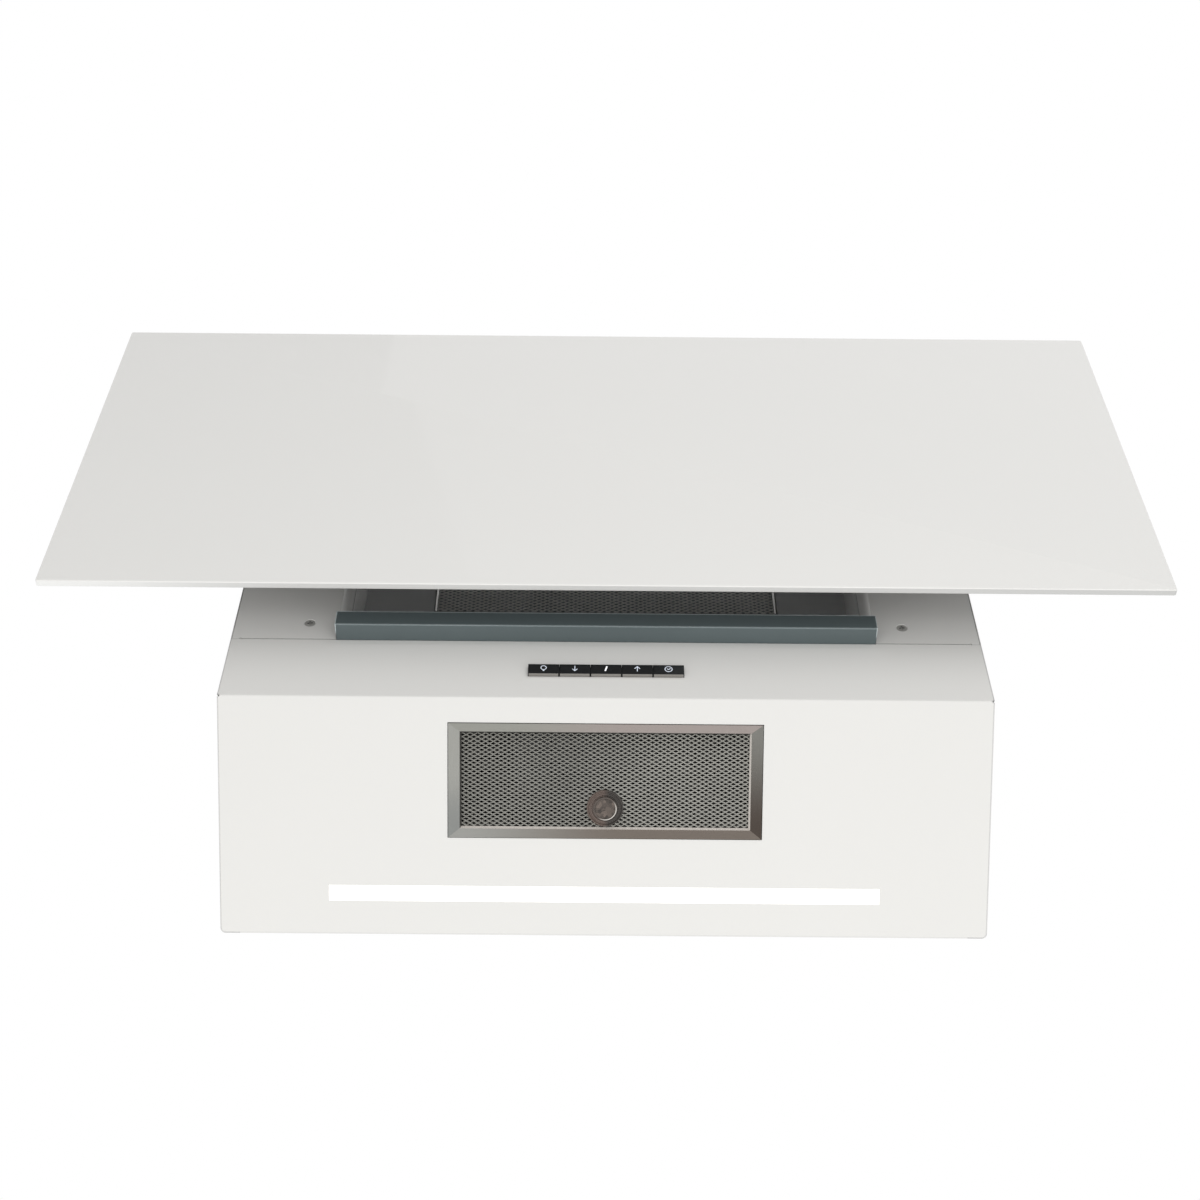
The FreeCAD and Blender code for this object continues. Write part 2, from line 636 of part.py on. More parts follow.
def hinge_bracket():
    """The left hinge bracket: a base plate with two ears round the arm."""
    inner = -ARM_INNER_X + HINGE_SIDE_GAP
    outer = -ARM_INNER_X - ARM_WIDTH - HINGE_SIDE_GAP
    low = HINGE_S - HINGE_EAR_RADIUS
    high = HINGE_S + HINGE_EAR_RADIUS
    base = block(outer - HINGE_EAR - HINGE_BASE_MARGIN, inner + HINGE_EAR, low, high, 0, HINGE_BASE)
    pieces = [base]
    for x0, x1 in ((outer - HINGE_EAR, outer), (inner, inner + HINGE_EAR)):
        pieces.append(block(x0, x1, low, high, 0, HINGE_N))
        pieces.append(rod_x(HINGE_EAR_RADIUS, x0, x1, HINGE_S, HINGE_N))
    whole = fused(pieces)
    return on_face(whole.cut(rod_x(HINGE_PIN_RADIUS, outer - OVERRUN, inner + OVERRUN, HINGE_S, HINGE_N)))


def hinge_pins():
    """Two headed pins that carry the arms."""
    start = ARM_INNER_X - HINGE_SIDE_GAP - HINGE_EAR
    end = ARM_INNER_X + ARM_WIDTH + HINGE_SIDE_GAP + HINGE_EAR
    pin = rod_x(HINGE_PIN_RADIUS, start, end, HINGE_S, HINGE_N)
    head = rod_x(HINGE_PIN_HEAD_RADIUS, end, end + HINGE_PIN_HEAD, HINGE_S, HINGE_N)
    head = rounded(head, HINGE_PIN_HEAD / 2, lambda c: near(c.x, end + HINGE_PIN_HEAD))
    whole = fused([pin, head])
    return on_face(Part.makeCompound([whole, mirrored(whole)]))


def glass_magnets():
    """Two magnets on the front that hold the arms shut."""
    magnet = rod_z(MAGNET_RADIUS, 0, ARM_CLEARANCE - MAGNET_GAP, ARM_INNER_X + ARM_WIDTH / 2, MAGNET_S)
    return on_face(Part.makeCompound([magnet, mirrored(magnet)]))


def bottom_filter_place():
    """Where the bottom filter's (x, t, d) frame lies: t towards the wall and d down."""
    return Placement(Vector(0, BOTTOM_FILTER_FRONT_Y, -FILTER_PROUD), Rotation(Y_AXIS, 180))


def front_filter_place():
    """Where the front filter's (x, t, d) frame lies: t up the front and d out of it."""
    return ON_FACE.multiply(Placement(Vector(0, FRONT_FILTER_LOW_S, FILTER_PROUD - MOUTH_DEPTH), Rotation()))


def filter_opening(place, width, length):
    """A cutter for the opening that a filter lies in."""
    cutter = wide_block(width / 2 + FILTER_FIT, -FILTER_FIT, length + FILTER_FIT, -OVERRUN, OVERRUN)
    return placed(cutter, place)


def filter_frame(place, width, length, side_rail, end_rail):
    """A folded frame of channel section with a rolled pivot edge and two pivot pins."""
    half = width / 2
    outer = wide_block(half, 0, length, -FILTER_DEPTH, 0)
    outer = rounded(outer, FILTER_ROLL, lambda c: near(c.y, 0) and near(c.z, 0))
    outer = rounded(outer, FILTER_CORNER, lambda c: near(abs(c.x), half) and near(c.y, length))
    hollow = wide_block(half - FILTER_SHEET, FILTER_SHEET, length - FILTER_SHEET,
                        FILTER_SHEET - FILTER_DEPTH, -FILTER_SHEET)
    hollow = rounded(hollow, FILTER_ROLL - FILTER_SHEET,
                     lambda c: near(c.y, FILTER_SHEET) and near(c.z, -FILTER_SHEET))
    window = wide_block(half - side_rail, end_rail, length - end_rail, -FILTER_DEPTH - OVERRUN, OVERRUN)
    slot_half = CATCH_TONGUE_WIDTH / 2 + CATCH_SLOT_FIT
    slot_low = CATCH_TONGUE_TOP - CATCH_TONGUE_THICKNESS - CATCH_SLOT_FIT
    slot_top = CATCH_TONGUE_TOP + CATCH_SLOT_FIT
    slot = wide_block(slot_half, length - OVERRUN, length + OVERRUN, slot_low, slot_top)
    frame = outer.cut(hollow).cut(window).cut(slot)
    pin_end = half + FILTER_PIN_LENGTH
    pin = rod_x(FILTER_PIN_RADIUS, half - FILTER_SHEET, pin_end, FILTER_ROLL, -FILTER_ROLL)
    return placed(fused([frame, pin, mirrored(pin)]), place)


def filter_mesh(place, width, length, side_rail, end_rail, pitch_x, pitch_t):
    """The expanded sheet of a filter, as staggered diamonds, with a slot for the catch's stem."""
    half = width / 2 - FILTER_SHEET - LOOSE_GAP
    low = FILTER_SHEET + LOOSE_GAP
    high = length - low
    top = -MESH_RECESS
    sheet = wide_block(half, low, high, top - MESH_THICKNESS, top)
    catch_t = length - CATCH_SETBACK
    open_half = width / 2 - side_rail
    open_length = length - 2 * end_rail
    columns = int(2 * open_half / pitch_x)
    rows = int(open_length / (pitch_t / 2))
    diamonds = []
    for row in range(1, rows):
        t = end_rail + row * open_length / rows
        shift = (row % 2) * pitch_x / 2
        for column in range(columns + 1):
            x = -open_half + column * 2 * open_half / columns + shift
            clear = pitch_x / 2 + CATCH_PLATE_RADIUS
            if abs(x) > open_half - pitch_x / 2 or math.hypot(x, t - catch_t) < clear:
                continue
            reach_x = (pitch_x - MESH_STRAND) / 2
            reach_t = (pitch_t - MESH_STRAND) / 2
            points = [Vector(x - reach_x, t, top), Vector(x, t - reach_t, top), Vector(x + reach_x, t, top),
                      Vector(x, t + reach_t, top)]
            face = Part.Face(Part.makePolygon(points + points[:1]))
            diamonds.append(face.extrude(Vector(0, 0, -MESH_THICKNESS)))
    sheet = sheet.cut(Part.makeCompound(diamonds))
    return placed(sheet.cut(stem_slot(catch_t)), place)


def stem_slot(catch_t):
    """A cutter for the way that the catch's stem slides along."""
    reach = CATCH_STEM_RADIUS + CATCH_SLOT_FIT
    ends = [rod_z(reach, -FILTER_DEPTH, OVERRUN, 0, t) for t in (catch_t - CATCH_TRAVEL, catch_t)]
    middle = wide_block(reach, catch_t - CATCH_TRAVEL, catch_t, -FILTER_DEPTH, OVERRUN)
    return ends[0].fuse(ends[1]).fuse(middle)


def catch_plate(place, length):
    """The round dished plate that the catch's button slides on."""
    catch_t = length - CATCH_SETBACK
    floor = CATCH_PLATE_FACE
    inner = CATCH_PLATE_RADIUS - CATCH_PLATE_RIM
    outline = [Vector(0, catch_t, -MESH_RECESS), Vector(CATCH_PLATE_RADIUS, catch_t, -MESH_RECESS),
               Vector(CATCH_PLATE_RADIUS, catch_t, CATCH_PLATE_PROUD - CATCH_PLATE_RIM / 2),
               Vector(CATCH_PLATE_RADIUS - CATCH_PLATE_RIM / 2, catch_t, CATCH_PLATE_PROUD),
               Vector(inner, catch_t, floor), Vector(0, catch_t, floor)]
    face = Part.Face(Part.makePolygon(outline + outline[:1]))
    plate = face.revolve(Vector(0, catch_t, 0), Z_AXIS, 360)
    return placed(plate.cut(stem_slot(catch_t)), place)


def filter_catch(place, length):
    """Button, stem and tongue of the sliding catch, in one piece."""
    catch_t = length - CATCH_SETBACK
    button = rod_z(CATCH_BUTTON_RADIUS, CATCH_BUTTON_LOW, CATCH_BUTTON_HIGH, 0, catch_t)
    button = rounded(button, CATCH_BUTTON_LIP / 2, lambda c: near(c.z, CATCH_BUTTON_HIGH))
    low_radius = CATCH_BUTTON_RADIUS - 2 * CATCH_BUTTON_LIP
    hollow = Part.makeCone(low_radius, CATCH_BUTTON_RADIUS - CATCH_BUTTON_LIP, CATCH_BUTTON_HOLLOW,
                           Vector(0, catch_t, CATCH_BUTTON_HIGH - CATCH_BUTTON_HOLLOW), Z_AXIS)
    tongue_low = CATCH_TONGUE_TOP - CATCH_TONGUE_THICKNESS
    stem = rod_z(CATCH_STEM_RADIUS, tongue_low, CATCH_BUTTON_LOW, 0, catch_t)
    tongue = wide_block(CATCH_TONGUE_WIDTH / 2, catch_t - CATCH_TONGUE_TAIL, length + FILTER_FIT - LOOSE_GAP,
                        tongue_low, CATCH_TONGUE_TOP)
    tip = tongue_low + CATCH_TONGUE_THICKNESS / 2
    tongue = rounded(tongue, CATCH_TONGUE_WIDTH / 4,
                     lambda c: c.y > length and near(abs(c.x), CATCH_TONGUE_WIDTH / 2) and near(c.z, tip))
    return placed(fused([button.cut(hollow), stem, tongue]), place)


def filter_hangers(place, width):
    """Two small angles inside the body with the holes of a filter's pivot pins."""
    x0 = width / 2 + FILTER_FIT + LOOSE_GAP
    x1 = x0 + HANGER_THICKNESS
    surface = -FILTER_PROUD - SHEET
    t0 = FILTER_ROLL - HANGER_LENGTH / 2
    plate = block(x0, x1, t0, t0 + HANGER_LENGTH, -FILTER_DEPTH, surface)
    foot = block(x0, x1 + HANGER_FOOT, t0, t0 + HANGER_LENGTH, surface - HANGER_FOOT_THICKNESS, surface)
    hole = rod_x(FILTER_PIN_RADIUS + RUNNING_FIT, x0 - OVERRUN, x1 + OVERRUN, FILTER_ROLL, -FILTER_ROLL)
    hanger = fused([plate, foot]).cut(hole)
    return placed(Part.makeCompound([hanger, mirrored(hanger)]), place)


def key_places():
    """The middle x of each key, from left to right."""
    first = -(KEY_COUNT - 1) * KEY_PITCH / 2
    return [first + i * KEY_PITCH for i in range(KEY_COUNT)]


def key(x):
    """One key: a head with a shallow dish, and a stem that presses its switch."""
    half = (KEY_PITCH - KEY_GAP) / 2
    head = block(x - half, x + half, KEY_LOW_S, KEY_LOW_S + KEY_HEIGHT, -KEY_HEAD_DEPTH, KEY_PROUD)
    head = rounded(head, KEY_EDGE, lambda c: near(c.z, KEY_PROUD))
    dish = block(x - half + KEY_DISH_MARGIN, x + half - KEY_DISH_MARGIN, KEY_LOW_S + KEY_DISH_MARGIN,
                 KEY_LOW_S + KEY_HEIGHT - KEY_DISH_MARGIN, KEY_PROUD - KEY_DISH, KEY_PROUD)
    stem = block(x - KEY_STEM_WIDTH / 2, x + KEY_STEM_WIDTH / 2, KEY_MID_S - KEY_STEM_HEIGHT / 2,
                 KEY_MID_S + KEY_STEM_HEIGHT / 2, stem_end(), -KEY_HEAD_DEPTH)
    return on_face(fused([head.cut(dish), stem]))


def bezel_front():
    """The n of the bezel's front, just below a key's head at full travel."""
    return -SHEET - BEZEL_SPACER


def stem_end():
    """The n at which a key's stem ends, just past the bezel."""
    return bezel_front() - BEZEL_THICKNESS - BEZEL_SPACER


def board_front():
    """The n of the control board's front."""
    return stem_end() - KEY_TRAVEL - SWITCH_GAP - SWITCH_HEIGHT


def bezel_half():
    """Half the length of the bezel and of the control board."""
    return KEY_COUNT * KEY_PITCH / 2 + BEZEL_MARGIN


def key_bezel():
    """The black carrier behind the sheet that guides the keys and holds the board."""
    half = bezel_half()
    low = KEY_LOW_S - BEZEL_MARGIN
    high = KEY_LOW_S + KEY_HEIGHT + BEZEL_MARGIN
    plate = wide_block(half, low, high, bezel_front() - BEZEL_THICKNESS, -SHEET)
    well = wide_block(half - BEZEL_MARGIN + KEY_SLOT_FIT, KEY_LOW_S - KEY_SLOT_FIT,
                      KEY_LOW_S + KEY_HEIGHT + KEY_SLOT_FIT, bezel_front(), OVERRUN)
    plate = plate.cut(well)
    reach_x = KEY_STEM_WIDTH / 2 + KEY_STEM_FIT
    reach_s = KEY_STEM_HEIGHT / 2 + KEY_STEM_FIT
    for x in key_places():
        plate = plate.cut(block(x - reach_x, x + reach_x, KEY_MID_S - reach_s, KEY_MID_S + reach_s,
                                -SHEET - OVERRUN, OVERRUN))
    posts = [block(x0, x1, low, high, board_front(), bezel_front() - BEZEL_THICKNESS)
             for x0, x1 in ((-half, -half + BEZEL_POST), (half - BEZEL_POST, half))]
    return on_face(fused([plate] + posts))


def control_board():
    """The circuit board behind the keys, with one switch for each."""
    front = board_front()
    pieces = [wide_block(bezel_half(), KEY_LOW_S - BEZEL_MARGIN, KEY_LOW_S + KEY_HEIGHT + BEZEL_MARGIN,
                         front - BOARD_THICKNESS, front)]
    reach = SWITCH_SIDE / 2
    top = front + SWITCH_HEIGHT
    for x in key_places():
        pieces.append(block(x - reach, x + reach, KEY_MID_S - reach, KEY_MID_S + reach, front, top))
    return on_face(fused(pieces))


def led_diffuser():
    """The opal bar of the light, held by its flanges above the bottom sheet."""
    head = wide_block(LIGHT_HALF_LENGTH, LIGHT_FRONT_Y, LIGHT_FRONT_Y + LIGHT_WIDTH, 0, SHEET)
    flange = wide_block(LIGHT_HALF_LENGTH + LIGHT_FLANGE, LIGHT_FRONT_Y - LIGHT_FLANGE,
                        LIGHT_FRONT_Y + LIGHT_WIDTH + LIGHT_FLANGE, SHEET, SHEET + LIGHT_FLANGE_THICKNESS)
    return fused([head, flange])


def led_housing():
    """The channel over the light bar."""
    low = SHEET + LIGHT_FLANGE_THICKNESS
    high = low + LIGHT_HOUSING_HEIGHT
    front = LIGHT_FRONT_Y - LIGHT_FLANGE
    back = LIGHT_FRONT_Y + LIGHT_WIDTH + LIGHT_FLANGE
    wall = LIGHT_HOUSING_WALL
    half = LIGHT_HALF_LENGTH + LIGHT_FLANGE
    outer = wide_block(half, front, back, low, high)
    return outer.cut(wide_block(half - wall, front + wall, back - wall, low - OVERRUN, high - wall))


def led_board():
    """The strip of lamps at the top of the channel."""
    high = SHEET + LIGHT_FLANGE_THICKNESS + LIGHT_HOUSING_HEIGHT - LIGHT_HOUSING_WALL
    low = high - LIGHT_BOARD_THICKNESS
    half = LIGHT_HALF_LENGTH - LIGHT_BOARD_MARGIN
    pieces = [wide_block(half, LIGHT_FRONT_Y, LIGHT_FRONT_Y + LIGHT_WIDTH, low, high)]
    pitch = 2 * half / LED_COUNT
    reach = LED_SIDE / 2
    for i in range(LED_COUNT):
        x = -half + pitch / 2 + i * pitch
        pieces.append(block(x - reach, x + reach, LIGHT_MID_Y - reach, LIGHT_MID_Y + reach,
                            low - LED_HEIGHT, low))
    return fused(pieces)


def scroll_point(angle, inset):
    """A point of the blower's scroll as (y, z). The angle runs from the wall side over the top."""
    share = (angle - SCROLL_START_ANGLE) / (360 - SCROLL_START_ANGLE)
    radius = SCROLL_START_RADIUS + (SCROLL_END_RADIUS - SCROLL_START_RADIUS) * share - inset
    turn = math.radians(angle)
    return BLOWER_Y + radius * math.cos(turn), BLOWER_Z + radius * math.sin(turn)


def scroll_face(inset, top, x):
    """The face inside the scroll and its outlet, drawn in by inset, at x."""
    step = (360 - SCROLL_START_ANGLE) / (SCROLL_POINTS - 1)
    steps = [SCROLL_START_ANGLE + i * step for i in range(SCROLL_POINTS)]
    points = [Vector(x, *scroll_point(a, inset)) for a in steps]
    curve = Part.BSplineCurve()
    curve.interpolate(points)
    tongue = points[0] + Vector(0, inset, 0)
    back = Vector(x, points[-1].y, top)
    front = Vector(x, tongue.y, top)
    corners = [points[-1], back, front, tongue]
    if inset:
        corners.append(points[0])
    edges = [curve.toShape()]
    edges += [Part.makeLine(a, b) for a, b in zip(corners, corners[1:])]
    return Part.Face(Part.Wire(Part.__sortEdges__(edges)))


def blower_half():
    """The right half of the moulded blower housing, with its curved inlet."""
    width = Vector(BLOWER_HALF_WIDTH, 0, 0)
    outer = scroll_face(0, BLOWER_TOP_Z, 0).extrude(width)
    outer = rounded(outer, BLOWER_EDGE_ROUND, lambda c: near(c.x, BLOWER_HALF_WIDTH) and c.z < BLOWER_Z)
    hollow = scroll_face(BLOWER_WALL, BLOWER_TOP_Z + OVERRUN, 0)
    hollow = hollow.extrude(Vector(BLOWER_HALF_WIDTH - BLOWER_WALL, 0, 0))
    inlet = rod_x(INLET_RADIUS, BLOWER_HALF_WIDTH - OVERRUN, BLOWER_HALF_WIDTH + OVERRUN, BLOWER_Y, BLOWER_Z)
    return fused([outer.cut(hollow).cut(inlet), inlet_cone()])


def inlet_cone():
    """The inlet's bell mouth, a curved ring that narrows towards the impeller."""
    x1 = BLOWER_HALF_WIDTH
    x0 = x1 - INLET_DEPTH
    mid = Vector(x0 + INLET_DEPTH / 3, INLET_THROAT_RADIUS + (INLET_RADIUS - INLET_THROAT_RADIUS) / 4, 0)
    curve = Part.Arc(Vector(x0, INLET_THROAT_RADIUS, 0), mid, Vector(x1, INLET_RADIUS, 0)).toShape()
    outside = Part.Arc(Vector(x0, INLET_THROAT_RADIUS + BLOWER_WALL, 0), mid + Vector(0, BLOWER_WALL, 0),
                       Vector(x1, INLET_RADIUS + BLOWER_WALL, 0)).toShape()
    ends = [Part.makeLine(curve.Vertexes[0].Point, outside.Vertexes[0].Point),
            Part.makeLine(curve.Vertexes[-1].Point, outside.Vertexes[-1].Point)]
    face = Part.Face(Part.Wire(Part.__sortEdges__([curve, outside] + ends)))
    ring = face.revolve(Vector(0, 0, 0), X_AXIS, 360)
    return placed(ring, Placement(Vector(0, BLOWER_Y, BLOWER_Z), Rotation()))


def blade():
    """One forward-curved blade, a thin arc between two radii."""
    turn = math.radians(BLADE_SWEEP)
    start = -IMPELLER_HALF_WIDTH
    inner = Vector(start, IMPELLER_INNER_RADIUS, 0)
    outer = Vector(start, IMPELLER_RADIUS * math.cos(turn), IMPELLER_RADIUS * math.sin(turn))
    mid = (inner + outer) * 0.5 + Vector(0, BLADE_BULGE / 2, -BLADE_BULGE)
    thick = Vector(0, 0, BLADE_THICKNESS)
    low = Part.Arc(inner, mid, outer).toShape()
    high = Part.Arc(inner + thick, mid + thick, outer + thick).toShape()
    ends = [Part.makeLine(inner, inner + thick), Part.makeLine(outer, outer + thick)]
    face = Part.Face(Part.Wire(Part.__sortEdges__([low, high] + ends)))
    return face.extrude(Vector(2 * IMPELLER_HALF_WIDTH, 0, 0))


def impeller():
    """The double-inlet fan wheel: a disc with a hub, curved blades and a ring at each end."""
    first = blade()
    pieces = [rod_x(IMPELLER_RADIUS, -IMPELLER_DISC / 2, IMPELLER_DISC / 2, 0, 0),
              rod_x(IMPELLER_HUB_RADIUS, -IMPELLER_HUB_HALF, IMPELLER_HUB_HALF, 0, 0)]
    reach = IMPELLER_RADIUS + BLADE_THICKNESS
    for x in (-IMPELLER_HALF_WIDTH, IMPELLER_HALF_WIDTH - IMPELLER_RING):
        ring = rod_x(reach, x, x + IMPELLER_RING, 0, 0)
        pieces.append(ring.cut(rod_x(reach - IMPELLER_RING_WIDTH, x, x + IMPELLER_RING, 0, 0)))
    for i in range(BLADE_COUNT):
        pieces.append(placed(first, Placement(Vector(0, 0, 0), Rotation(X_AXIS, i * 360 / BLADE_COUNT))))
    wheel = pieces[0].multiFuse(pieces[1:])
    wheel = wheel.cut(rod_x(SHAFT_RADIUS, -OVERRUN - IMPELLER_HUB_HALF, OVERRUN + IMPELLER_HUB_HALF, 0, 0))
    return placed(wheel, Placement(Vector(0, BLOWER_Y, BLOWER_Z), Rotation()))


def motor_shaft():
    """The shaft from the motor's far bearing to the fan wheel's hub."""
    return rod_x(SHAFT_RADIUS, SHAFT_START_X, SHAFT_END_X, BLOWER_Y, BLOWER_Z)


def motor():
    """The motor's round body with its stator band, bored for the shaft."""
    body = rod_x(MOTOR_RADIUS, MOTOR_START_X, MOTOR_END_X, BLOWER_Y, BLOWER_Z)
    body = rounded(body, MOTOR_ROUND, lambda c: near(c.x, MOTOR_START_X) or near(c.x, MOTOR_END_X))
    mid = (MOTOR_START_X + MOTOR_END_X) / 2
    band = rod_x(MOTOR_RADIUS + MOTOR_BAND, mid - MOTOR_BAND_HALF, mid + MOTOR_BAND_HALF, BLOWER_Y, BLOWER_Z)
    bore = SHAFT_RADIUS + RUNNING_FIT
    way = rod_x(bore, MOTOR_START_X - OVERRUN, MOTOR_END_X + OVERRUN, BLOWER_Y, BLOWER_Z)
    return fused([body, band]).cut(way)


def motor_bracket():
    """The spider that carries the motor in the left inlet."""
    x1 = -BLOWER_HALF_WIDTH
    x0 = x1 - BRACKET_THICKNESS
    outer = INLET_RADIUS + BLOWER_WALL + BRACKET_RING_WIDTH / 2
    inner = outer - BRACKET_RING_WIDTH
    ring = rod_x(outer, x0, x1, 0, 0).cut(rod_x(inner, x0, x1, 0, 0))
    boss = rod_x(BRACKET_BOSS_RADIUS, x0, MOTOR_START_X, 0, 0)
    pieces = [ring, boss]
    for i in range(BRACKET_ARMS):
        arm = block(x0, x1, -BRACKET_ARM_WIDTH / 2, BRACKET_ARM_WIDTH / 2, 0, outer - BRACKET_RING_WIDTH / 2)
        pieces.append(placed(arm, Placement(Vector(0, 0, 0), Rotation(X_AXIS, i * 360 / BRACKET_ARMS))))
    whole = fused(pieces)
    whole = whole.cut(rod_x(SHAFT_RADIUS + RUNNING_FIT, x0 - OVERRUN, MOTOR_START_X + OVERRUN, 0, 0))
    return placed(whole, Placement(Vector(0, BLOWER_Y, BLOWER_Z), Rotation()))


def blower_buffers():
    """Four rubber buffers that hold the blower off the back panel."""
    start = BLOWER_Y + SCROLL_END_RADIUS
    return Part.makeCompound([
        Part.makeCylinder(BUFFER_RADIUS, -SHEET - start, Vector(x, start, z), Y_AXIS)
        for x in (-BUFFER_X, BUFFER_X) for z in BUFFER_HEIGHTS])


def outlet_ring(radius, z):
    """A circle at the outlet in four arcs that start at the corners' directions."""
    centre = Vector(0, OUTLET_Y, z)
    corners = [centre + Vector(radius * math.cos(math.radians(a)), radius * math.sin(math.radians(a)), 0)
               for a in (-135, -90, -45, 0, 45, 90, 135, 180, 225)]
    arcs = [Part.Arc(corners[i], corners[i + 1], corners[i + 2]).toShape() for i in (0, 2, 4, 6)]
    return Part.Wire(arcs)


def outlet_frame(inset, z):
    """The blower's outlet outline, in the same order as the ring."""
    half = BLOWER_HALF_WIDTH - inset
    front = scroll_point(SCROLL_START_ANGLE, 0)[0] + inset
    back = BLOWER_Y + SCROLL_END_RADIUS - inset
    places = ((-half, front), (half, front), (half, back), (-half, back))
    corners = [Vector(x, y, z) for x, y in places]
    return Part.Wire([Part.makeLine(a, b) for a, b in zip(corners, corners[1:] + corners[:1])])


def outlet_adapter():
    """The hood that leads from the blower's rectangle to the round outlet."""
    top = BODY_HEIGHT - SHEET
    skins = []
    for inset in (0, BLOWER_WALL):
        ends = [outlet_frame(inset, BLOWER_TOP_Z), outlet_ring(COLLAR_RADIUS - inset, top)]
        skins.append(Part.makeLoft(ends, True, True))
    return skins[0].cut(skins[1])


def flap_z():
    """The height of the flaps' pin."""
    return BODY_HEIGHT + FLAP_HEIGHT


def collar_screw_places():
    """The middle of each collar screw as (x, y)."""
    reach = COLLAR_RADIUS + COLLAR_FLANGE / 2
    turns = [math.radians(45 + i * 360 / COLLAR_SCREWS) for i in range(COLLAR_SCREWS)]
    return [(reach * math.cos(a), OUTLET_Y + reach * math.sin(a)) for a in turns]


def collar_screw_holes():
    """Cutters for the collar's screws."""
    radius = COLLAR_SCREW_RADIUS + COLLAR_SCREW_FIT
    return Part.makeCompound([rod_z(radius, BODY_HEIGHT - OVERRUN, BODY_HEIGHT + OVERRUN, x, y)
                              for x, y in collar_screw_places()])


def outlet_collar():
    """The spigot that the duct slides over, with its flange, bead and the ledge under the flaps."""
    low = BODY_HEIGHT
    high = low + COLLAR_HEIGHT
    inner = COLLAR_RADIUS - COLLAR_WALL
    ledge = inner - COLLAR_LEDGE
    ledge_top = flap_z() - FLAP_THICKNESS / 2 - FLAP_LEDGE_GAP
    ledge_low = ledge_top - COLLAR_LEDGE_THICKNESS
    flange = COLLAR_RADIUS + COLLAR_FLANGE
    points = [(inner, low), (flange, low), (flange, low + COLLAR_FLANGE_THICKNESS),
              (COLLAR_RADIUS, low + COLLAR_FLANGE_THICKNESS), (COLLAR_RADIUS, high - COLLAR_BEAD),
              (COLLAR_RADIUS - COLLAR_BEAD, high), (inner, high), (inner, ledge_top), (ledge, ledge_top),
              (ledge, ledge_low), (inner, ledge_low)]
    corners = [Vector(r, OUTLET_Y, z) for r, z in points]
    face = Part.Face(Part.makePolygon(corners + corners[:1]))
    ring = face.revolve(Vector(0, OUTLET_Y, 0), Z_AXIS, 360)
    return ring.cut(flap_pin()).cut(collar_screw_holes())


def collar_screws():
    """Pan-head screws through the collar's flange and the top."""
    seat = BODY_HEIGHT + COLLAR_FLANGE_THICKNESS
    screws = []
    for x, y in collar_screw_places():
        shank = rod_z(COLLAR_SCREW_RADIUS, seat - COLLAR_SCREW_DEPTH, seat, x, y)
        head = rod_z(COLLAR_SCREW_HEAD_RADIUS, seat, seat + COLLAR_SCREW_HEAD, x, y)
        head = rounded(head, COLLAR_SCREW_HEAD / 2, lambda c: near(c.z, seat + COLLAR_SCREW_HEAD))
        screws.append(fused([shank, head]))
    return Part.makeCompound(screws)


def flap_pin():
    """The pin across the collar that both flaps hang on."""
    end = COLLAR_RADIUS - COLLAR_WALL / 2
    return rod_x(FLAP_PIN_RADIUS, -end, end, OUTLET_Y, flap_z())


def flap(side):
    """A half-round non-return flap: side -1 opens on the room's side and 1 on the wall's."""
    z = flap_z()
    radius = COLLAR_RADIUS - COLLAR_WALL - FLAP_RIM_GAP
    disc = rod_z(radius, z - FLAP_THICKNESS / 2, z + FLAP_THICKNESS / 2, 0, OUTLET_Y)
    keep = block(-radius, radius, FLAP_EDGE_GAP, radius, z - FLAP_THICKNESS, z + FLAP_THICKNESS)
    keep = placed(keep, Placement(Vector(0, OUTLET_Y, 0), Rotation(Z_AXIS, 0 if side > 0 else 180)))
    plate = disc.common(keep)
    start = FLAP_FIRST_KNUCKLE_X
    if side < 0:
        start += FLAP_KNUCKLE_LENGTH + FLAP_KNUCKLE_GAP
    pieces = [plate]
    bores = []
    for hand in (-1, 1):
        x0, x1 = sorted((hand * start, hand * (start + FLAP_KNUCKLE_LENGTH)))
        pieces.append(rod_x(FLAP_KNUCKLE_RADIUS, x0, x1, OUTLET_Y, z))
        y0, y1 = sorted((OUTLET_Y, OUTLET_Y + side * (FLAP_EDGE_GAP + FLAP_THICKNESS)))
        pieces.append(block(x0, x1, y0, y1, z - FLAP_THICKNESS / 2, z + FLAP_THICKNESS / 2))
        bores.append(rod_x(FLAP_PIN_RADIUS + RUNNING_FIT, x0 - OVERRUN, x1 + OVERRUN, OUTLET_Y, z))
    whole = fused(pieces)
    for bore in bores:
        whole = whole.cut(bore)
    return whole


def electronics_box():
    """The open moulded box for the wiring, on the left side panel."""
    x0 = -INSIDE
    outer = block(x0, x0 + BOX_LENGTH, BOX_BACK_Y - BOX_WIDTH, BOX_BACK_Y, BOX_LOW_Z, BOX_LOW_Z + BOX_HEIGHT)
    mid = BOX_LOW_Z + BOX_HEIGHT / 2
    outer = rounded(outer, BOX_ROUND, lambda c: near(c.z, mid))
    hollow = block(x0 + BOX_WALL, x0 + BOX_LENGTH - BOX_WALL, BOX_BACK_Y - BOX_WIDTH + BOX_WALL,
                   BOX_BACK_Y - BOX_WALL, BOX_LOW_Z + BOX_WALL, BOX_LOW_Z + BOX_HEIGHT + OVERRUN)
    hollow_mid = (BOX_LOW_Z + BOX_WALL + BOX_LOW_Z + BOX_HEIGHT + OVERRUN) / 2
    hollow = rounded(hollow, BOX_ROUND - BOX_WALL, lambda c: near(c.z, hollow_mid))
    return outer.cut(hollow)


